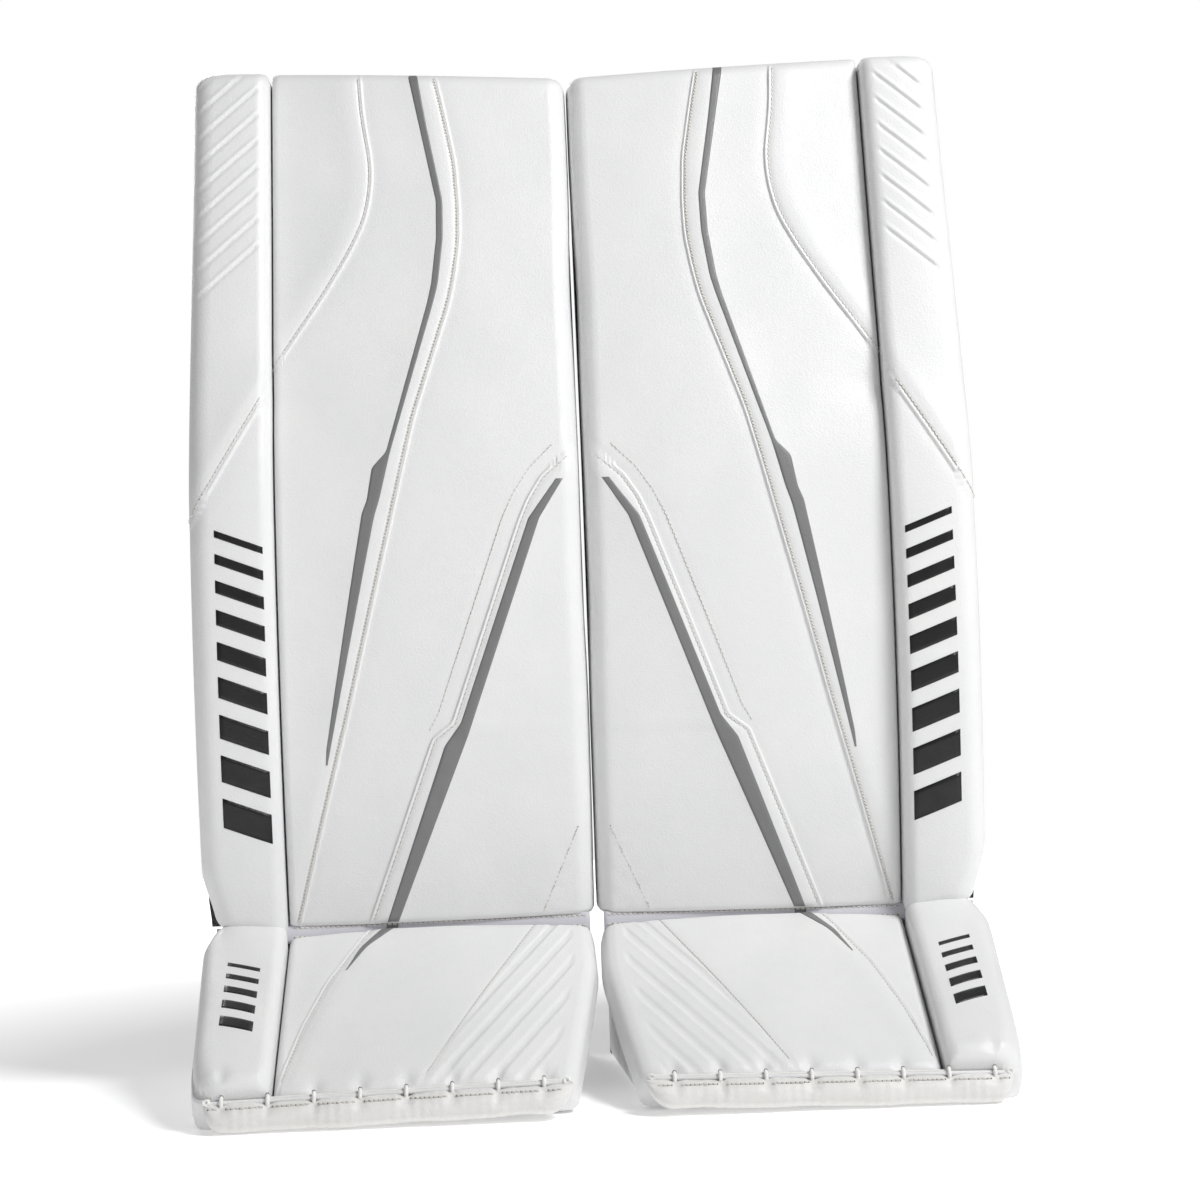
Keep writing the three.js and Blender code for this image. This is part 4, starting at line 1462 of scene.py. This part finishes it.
def make_hinge_cloth(side, wing, outer_u, heights):
    """The cloth that joins a wing's root to the liner's edge."""
    root = bent_line([(HINGE_FRONT, HINGE_U), (49.6, HINGE_WAIST), (52.6, (HINGE_WAIST + outer_u) / 2),
                      (57.0, outer_u + 1.0), (HINGE_DEEP, outer_u + 0.4)], 2)
    depth = steps(HINGE_FRONT, HINGE_DEEP, 1.6)[None, :]
    z = steps(*heights, 5)[:, None]
    u = root(depth)
    shape = sheet_body(behind(u + HINGE_THICK, depth, z), behind(u, depth, z))
    middle = (heights[0] + heights[1]) / 2
    lean = float(face_y(middle + 5) - face_y(middle - 5)) / 10
    start = behind(*HINGE_BEND, middle)
    ends = [start, start + np.array([0.0, 1.0, -lean]) * HINGE_BEND_LENGTH]
    bending(f"{wing}_hinge", NYLON, side, shape, ends)


# ---------------------------------------------------------------- straps, tab and buckle
STRAP_HALF = 19.0
WEB = 2.4


def webbing(line, half, thick=WEB, across_axis=(0, 0, 1), tip=None):
    """A flat strap along a line of points: rounded selvages, fine ribs and, if asked, a rounded tip."""
    line = np.asarray(line, float)
    lengths = lengths_along(line)
    places_on = steps(0, lengths[-1], 2.5)
    middle = points_at(line, lengths, places_on)
    tangent = np.gradient(middle, axis=0)
    tangent /= np.linalg.norm(tangent, axis=1)[:, None]
    wide = np.array(across_axis, float)
    normal = np.cross(tangent, wide)
    normal /= np.linalg.norm(normal, axis=1)[:, None]
    share = np.concatenate([[-1, -0.985], np.linspace(-0.95, 0.95, 15), [0.985, 1]])
    widths = np.full(len(places_on), half)
    if tip:
        left = np.clip(1 - (lengths[-1] - places_on) / tip, 0, 1)
        widths = half * np.maximum(np.sqrt(1 - left**2), 0.25)
    fullness = 1 - 0.75 * (np.abs(share) > 0.97) + 0.06 * np.cos(share * 20)
    offset = widths[:, None, None] * share[None, :, None] * wide
    lift = thick / 2 * fullness[None, :, None] * normal[:, None, :]
    return sheet_body(middle[:, None, :] + offset + lift, middle[:, None, :] + offset - lift)


def box_stitch(u0, u1, middle, half, lay):
    """A sewn rectangle with a cross, as a strap's end has; lay puts (u, z) on the strap."""
    z0, z1 = middle - half, middle + half
    corners = [(u0, z0), (u1, z0), (u1, z1), (u0, z1), (u0, z0), (u1, z1)]
    threads = []
    for (ua, za), (ub, zb) in [*zip(corners, corners[1:]), ((u0, z1), (u1, z0))]:
        share = np.linspace(0, 1, 20)[:, None]
        u, z = ua + (ub - ua) * share[:, 0], za + (zb - za) * share[:, 0]
        threads += stitched_path(lay(u, z), (0, 1, 0), pitch=3.4, length=2.3)
    return threads


def laid_at(depth):
    """A function that lays (u, z) at a depth behind the leg."""
    def lay(u, z):
        return behind(u, depth, z)
    return lay


def strap_set(side, name, ends, depth, middle):
    """A closing strap: webbing with a soft fastener patch, a folded tip and box stitches."""
    outer, inner = ends
    outside = depth + WEB / 2
    lean = float(face_y(middle + STRAP_HALF) - face_y(middle - STRAP_HALF)) / (2 * STRAP_HALF)
    upward = np.array([0, lean, 1.0])
    upward /= np.linalg.norm(upward)
    line = behind(steps(outer, inner, 4), depth, middle)
    main = webbing(line, STRAP_HALF, across_axis=upward, tip=9)
    piece(f"{name}_webbing", name, WEBBING, side, main, (name,))
    patch = behind(steps(inner + 8, inner + 58, 4), outside + 0.7, middle)
    fastener = webbing(patch, STRAP_HALF - 3.5, 1.4, across_axis=upward)
    piece(f"{name}_patch", name, FASTENER, side, fastener)
    pull = behind(steps(inner + 10, inner - 2, 2), outside + 1.4, middle)
    pull = webbing(pull, 11.0, 1.2, across_axis=upward, tip=5)
    piece(f"{name}_pull", name, BINDING, side, pull)
    threads = box_stitch(outer - 26, outer - 5, middle, 14, laid_at(outside + 0.15))
    threads += box_stitch(inner + 11, inner + 55, middle, 13, laid_at(outside + 1.45))
    piece(f"{name}_thread", name, GREY_THREAD, side, joined(threads))


BOOT_STRAP_Y = 101.4
BOOT_STRAP_MIDDLE = 75.0
BUCKLE_U = 60.0
BUCKLE_HALF = (24.5, 19.5)                     # half its width and half its height
BUCKLE_BARS = (-13, 2, 14)                     # its cross bars, from its middle
BUCKLE_TEETH = (-10, 0, 10)
# The loose tail of the strap: places along u and how far it stands out where it runs over the bars.
HEEL_TAIL = ((88, 3.6), (76, 4.2), (66, 6.6), (60, 8.4), (52, 6.8), (44, 4.6), (34, 3.8), (22, 3.4),
             (12, 3.2))


def rounded_frame(centre, half_u, half_z, corner, radius, flat):
    """A closed ring of a rounded rectangle that stands upright."""
    u, _, z = centre
    loop = rounded_loop((u - half_u, u + half_u, z - half_z, z + half_z), corner)
    path = np.stack([loop[:, 0], np.full(len(loop), centre[1]), loop[:, 1]], axis=-1)
    return tube_body(path, radius, sides=12, flat=flat, closed=True)


def upright(u, out, z):
    """A point that stands out from the middle of the heel strap."""
    return np.stack(np.broadcast_arrays(u, BOOT_STRAP_Y + out, z), axis=-1)


def on_heel_strap(u, z):
    """A point on the outer face of the heel strap."""
    return upright(u, WEB / 2 + 0.15, z)


def make_boot_strap(side):
    """The heel strap, the slider that holds it, its loose tail and its stitches."""
    main = webbing(upright(steps(274, 9, 4), 0.0, BOOT_STRAP_MIDDLE), STRAP_HALF)
    piece("heel_strap_webbing", "boot_strap", WEBBING, side, main, ("boot_strap",))
    centre = np.array([BUCKLE_U, BOOT_STRAP_Y + 6.2, BOOT_STRAP_MIDDLE])
    parts = [rounded_frame(centre, *BUCKLE_HALF, corner=7, radius=3.3, flat=0.85)]
    for shift in BUCKLE_BARS:
        bar = [centre + np.array([shift, 0.4, z]) for z in (-18, -9, 0, 9, 18)]
        parts.append(tube_body(bar, 2.6, flat=0.8))
    for z in BUCKLE_TEETH:
        tooth = [centre + np.array([14 - x, 1.6 - 0.05 * x, z]) for x in (0, 4, 8, 11)]
        parts.append(tube_body(tooth, [1.5, 1.4, 1.2, 0.8], sides=8))
    piece("heel_strap_buckle", "boot_strap", PLASTIC, side, joined(parts), ("boot_buckle",))
    path = [(u, BOOT_STRAP_Y + out - 0.6, BOOT_STRAP_MIDDLE) for u, out in HEEL_TAIL]
    piece("heel_strap_tail", "boot_strap", WEBBING, side, webbing(path, 14.5, 1.8, tip=8))
    threads = box_stitch(244, 268, BOOT_STRAP_MIDDLE, 14, on_heel_strap)
    threads += box_stitch(92, 112, BOOT_STRAP_MIDDLE, 14, on_heel_strap)
    piece("heel_strap_thread", "boot_strap", GREY_THREAD, side, joined(threads))


TAB_TOP = 159
TAB_FOOT = 110.5
TAB_U = 274.5
TAB_HALF = 6.8


def make_ankle_tab(side):
    """The webbing tab that runs down behind the outer roll, over the ankle."""
    z = steps(TAB_TOP, TAB_FOOT, 4)
    sway = 1.5 * np.sin(math.pi * (TAB_TOP - z) / 48) ** 2
    line = behind(TAB_U + sway, 51.4, z)
    tab = webbing(line, TAB_HALF, across_axis=(1, 0, 0))
    piece("ankle_tab_webbing", "leg", WEBBING, side, tab, ("ankle_tab",))
    row = line + np.array([0, WEB / 2 + 0.2, 0])
    piece("ankle_tab_thread", "leg", GREY_THREAD, side, joined(stitched_path(row, (0, 1, 0))))


# ---------------------------------------------------------------- boot walls, bridge and toe strap
WALL_TOE = -120.0
WALL_HEEL = 98.0
WALL_THICK = 0.8
WALL_PUFF = 2.2
WALL_LEAN = 16.0 / (WALL_HEEL - WALL_TOE)      # the inner wall turns outward toward the toe


def wall_top(y):
    """Upper edge of a boot wall: under the boot's slope, then level, then falling to the heel."""
    under = BREAK_Z - (BOOT_BACK + 1.6) / math.cos(BOOT_SLOPE) + (y - BREAK_Y) * math.tan(BOOT_SLOPE)
    level = 90.0 - 12.0 * ramp(y, 62, WALL_HEEL)
    return np.minimum(under, level)


def wall_sheet(u_at, outside, thick, puff):
    """A boot wall panel: outside is the way its padded face looks along u."""
    y, share = np.meshgrid(steps(WALL_TOE, WALL_HEEL, 4.0), np.linspace(0, 1, 24))
    z = 0.4 + (wall_top(y) - 0.4) * share
    edge = np.minimum(np.minimum(share, 1 - share) * wall_top(y), np.minimum(y - WALL_TOE, WALL_HEEL - y))
    quilt = 1 - 0.6 * bell(np.abs(np.mod(y + 0.45 * z + 8, 44) - 22) - 22, 2.4)
    full = puff * np.sqrt(ramp(edge, -0.5, 9)) * quilt
    u = u_at(y)
    face = np.stack([u + outside * full, y, z], axis=-1)
    other = np.stack([u - outside * thick, y, z], axis=-1)
    return sheet_body(face, other)


def wall_edge(u_at, shift):
    """The bound upper and heel edge of a boot wall."""
    y = steps(WALL_TOE, WALL_HEEL, 5.0)
    path = [(u_at(v) + shift, v, float(wall_top(v))) for v in y]
    path += [(u_at(WALL_HEEL) + shift, WALL_HEEL, z) for z in steps(float(wall_top(WALL_HEEL)), 1.8, 6)[1:]]
    return tube_body(path, 1.9, sides=8)


def inner_wall(y):
    """Where the inner wall stands, from the toe to the heel."""
    return 8.2 + WALL_LEAN * (WALL_HEEL - y)


def outer_wall(y):
    """Where the outer wall stands."""
    return 274.0 + 0 * y


def shifted(u_at, shift):
    """A wall's place moved sideways."""
    return lambda y: u_at(y) + shift


def make_boot_walls(side):
    """Both side walls of the boot, each with its lining, bound edge and stitches."""
    for name, u_at, outside in (("inner", inner_wall, -1), ("outer", outer_wall, 1)):
        panel = wall_sheet(u_at, outside, WALL_THICK, WALL_PUFF)
        piece(f"boot_side_{name}", "boot", WHITE, side, panel, (f"boot_wall_{name}",))
        lining = wall_sheet(shifted(u_at, -outside * 1.1), -outside, 0.25, 1.6)
        piece(f"boot_lining_{name}", "boot", WHITE, side, lining)
        piece(f"boot_edge_{name}", "boot", BINDING, side, wall_edge(u_at, -outside * 0.5))
        y = steps(WALL_TOE + 7, WALL_HEEL - 8, 4)
        row = np.stack([u_at(y) + outside * 2.1, y, wall_top(y) - 7.0], axis=-1)
        threads = stitched_path(row, (outside, 0, 0), STITCH_PITCH, STITCH_LENGTH)
        piece(f"boot_side_{name}_thread", "boot", THREAD, side, joined(threads))


BRIDGE_ENDS = (25, 269)
BRIDGE_Y = -57.5
BRIDGE_Z = 27.6
BRIDGE_HALF = 12.5
TOE_STRAP_U = 141.0
TOE_STRAP_HALF = 13.0
TOE_STITCH_U = 9.5                             # its rows of stitches, from its middle
TOE_STRAP_LINE = ((-57, 20), (-44, 17.4), (-30, 13.6), (-10, 8.0), (10, 4.2), (26, 2.6), (42, 1.9))
HOOK_ARM = ((46, 2.8), (53, 2.7), (57, 3.0), (58.6, 4.0), (57, 5.0), (52, 5.2))


def make_toe_strap(side):
    """The bridge under the boot, the strap that hangs from it, and its hook."""
    low, high = BRIDGE_ENDS
    u = steps(low, high, 4)
    bow = 1.2 * np.sin(math.pi * (u - low) / (high - low))
    line = np.stack([u, np.full(len(u), BRIDGE_Y), BRIDGE_Z + bow], axis=-1)
    bridge = webbing(line, BRIDGE_HALF, across_axis=(0, 1, 0))
    piece("toe_bridge_webbing", "boot", WEBBING, side, bridge, ("toe_bridge",))
    line = [(TOE_STRAP_U, y, z) for y, z in TOE_STRAP_LINE]
    main = webbing(line, TOE_STRAP_HALF, 2.2, across_axis=(1, 0, 0))
    piece("toe_strap_webbing", "toe_strap", WEBBING, side, main, ("toe_strap",))
    threads = []
    for shift in (-TOE_STITCH_U, TOE_STITCH_U):
        row = [(TOE_STRAP_U + shift, y, z + 1.3) for y, z in TOE_STRAP_LINE[2:]]
        threads += stitched_path(row, (0, 0.2, 1))
    piece("toe_strap_thread", "toe_strap", GREY_THREAD, side, joined(threads))
    bar = [(TOE_STRAP_U + x, 46.0, 2.8) for x in (-10, -5, 0, 5, 10)]
    arm = [(TOE_STRAP_U, y, z) for y, z in HOOK_ARM]
    turns = np.linspace(0, 2 * math.pi, 25)[:-1]
    ring = [(TOE_STRAP_U + 9.0 * math.cos(a), 50.0 + 6.4 * math.sin(a), 2.7) for a in turns]
    parts = [tube_body(bar, 2.3), tube_body(arm, [2.2, 2.2, 2.0, 1.8, 1.6, 1.4], sides=8),
             tube_body(ring, 1.9, sides=8, closed=True)]
    piece("toe_strap_hook", "toe_strap", PLASTIC, side, joined(parts), ("toe_hook",))


padding_shapes = soft_shapes()
for side in SIDES:
    make_leg(side)
    make_boot(side)
    make_toe(side)
    make_ankle(side)
    make_bars(side)
    make_back(side, padding_shapes)
    strap_set(side, "calf_strap", (231, 23), 169.7, 255.0)
    strap_set(side, "knee_strap", (226, 23), 130.7, 471.0)
    make_boot_strap(side)
    make_ankle_tab(side)
    make_boot_walls(side)
    make_toe_strap(side)


# ---------------------------------------------------------------- CAD nodes that stay, and their finish
CAD_FINISH = {"leather": WHITE, "liner": NYLON, "strap": WEBBING, "tab": WEBBING, "bridge": WEBBING,
              "buckle": PLASTIC, "hook": PLASTIC, "lacing": LACE, "toe_roll": CREAM, "gusset": STRIP}
for name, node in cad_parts.items():
    matching = [finish for key, finish in CAD_FINISH.items() if key in name]
    node.data.materials.clear()
    node.data.materials.append(matching[0] if matching else NYLON)


# ---------------------------------------------------------------- camera, floor and light
CAMERA_AT = (-0.0515, -1.857, 0.324)
CAMERA_PAN = math.radians(1.89)                # to the right
CAMERA_TILT = math.radians(0.54)               # up
CAMERA_LEAN = math.radians(1.97)               # the camera leans over to its right
LENS = 77.4
AMBIENT = 0.19                                 # strength of the even light on the object
# Place, the point it looks at, size and power of each light.
LIGHTS = {
    "key": ((1.6, -1.35, 2.4), (0, 0, 0.4), 0.9, 70),
    "back": ((-1.3, 2.6, 1.9), (0, 0, 0.35), 1.6, 34),
    "fill": ((-1.2, -2.6, 1.1), (0, 0, 0.4), 1.8, 3),
}


def make_camera():
    """The camera that took the photo, in front of the pads and leaning a little."""
    camera = bpy.data.objects.new("camera", bpy.data.cameras.new("camera"))
    bpy.context.scene.collection.objects.link(camera)
    forward = Vector((math.sin(CAMERA_PAN), math.cos(CAMERA_PAN), 0)) * math.cos(CAMERA_TILT)
    forward.z = math.sin(CAMERA_TILT)
    turn = forward.to_track_quat("-Z", "Y") @ Matrix.Rotation(-CAMERA_LEAN, 3, "Z").to_quaternion()
    camera.rotation_mode = "QUATERNION"
    camera.rotation_quaternion = turn
    camera.location = CAMERA_AT
    camera.data.lens = LENS
    bpy.context.scene.camera = camera


def area_light(name, at, toward, size, power):
    """A round soft light that looks at a point."""
    data = bpy.data.lights.new(name, "AREA")
    data.shape = "DISK"
    data.size = size
    data.energy = power
    made = bpy.data.objects.new(name, data)
    made.location = at
    made.rotation_mode = "QUATERNION"
    made.rotation_quaternion = (Vector(toward) - Vector(at)).to_track_quat("-Z", "Y")
    bpy.context.scene.collection.objects.link(made)


FLOOR_RADIUS = 1.7
FLOOR_SIDES = 64
WHITE_OUT = (0.45, 1.1)                        # between these radii the paper turns fully white


def make_floor():
    """A round sheet of pale paper that glows white toward its edge."""
    radii = np.linspace(0, FLOOR_RADIUS, 9)[1:]
    turns = np.linspace(0, 2 * math.pi, FLOOR_SIDES + 1)[:-1]
    points = [(0.0, 0.0, 0.0)] + [(r * math.cos(a), r * math.sin(a), 0.0) for r in radii for a in turns]
    faces = [(0, 1 + k, 1 + (k + 1) % FLOOR_SIDES) for k in range(FLOOR_SIDES)]
    faces += [tuple(i + 1 for i in face) for face in grid_faces(len(radii), FLOOR_SIDES, closed=True)]
    data = bpy.data.meshes.new("studio_floor")
    data.from_pydata(points, [], faces)
    floor = bpy.data.objects.new("studio_floor", data)
    bpy.context.scene.collection.objects.link(floor)
    paper, tree, shader = material("studio_paper")
    fibres = texture(tree, "ShaderNodeTexNoise", frame_place(tree), 6.0, Detail=3.0)
    paint(tree, shader, fibres, "Fac", (0.93, 0.93, 0.93), (0.90, 0.90, 0.90))
    shader.inputs["Roughness"].default_value = 0.9
    shader.inputs["Emission Color"].default_value = (1, 1, 1, 1)
    distance = tree.nodes.new("ShaderNodeVectorMath")
    distance.operation = "LENGTH"
    link(tree, frame_place(tree), "Vector", distance, 0)
    glow = spread(tree, distance, "Value", 0.3, 1.0, *WHITE_OUT)
    link(tree, glow, "Result", shader, "Emission Strength")
    data.materials.append(paper)


def make_world():
    """White behind the object, and a dimmer, even light on it."""
    world = bpy.data.worlds.new("studio_world")
    world.use_nodes = True
    tree = world.node_tree
    behind_it = tree.nodes["Background"]
    behind_it.inputs["Color"].default_value = (1, 1, 1, 1)
    behind_it.inputs["Strength"].default_value = 1.0
    around_it = tree.nodes.new("ShaderNodeBackground")
    around_it.inputs["Color"].default_value = (1, 1, 1, 1)
    around_it.inputs["Strength"].default_value = AMBIENT
    rays = tree.nodes.new("ShaderNodeLightPath")
    mix = tree.nodes.new("ShaderNodeMixShader")
    link(tree, rays, "Is Camera Ray", mix, 0)
    link(tree, around_it, "Background", mix, 1)
    link(tree, behind_it, "Background", mix, 2)
    link(tree, mix, "Shader", tree.nodes["World Output"], "Surface")
    bpy.context.scene.world = world


def make_studio():
    """A soft key light from the upper right, a light from behind, a weak fill, and a pale floor."""
    make_floor()
    make_world()
    for name, settings in LIGHTS.items():
        area_light(name, *settings)
    bpy.context.scene.view_settings.view_transform = "Standard"


make_camera()
make_studio()
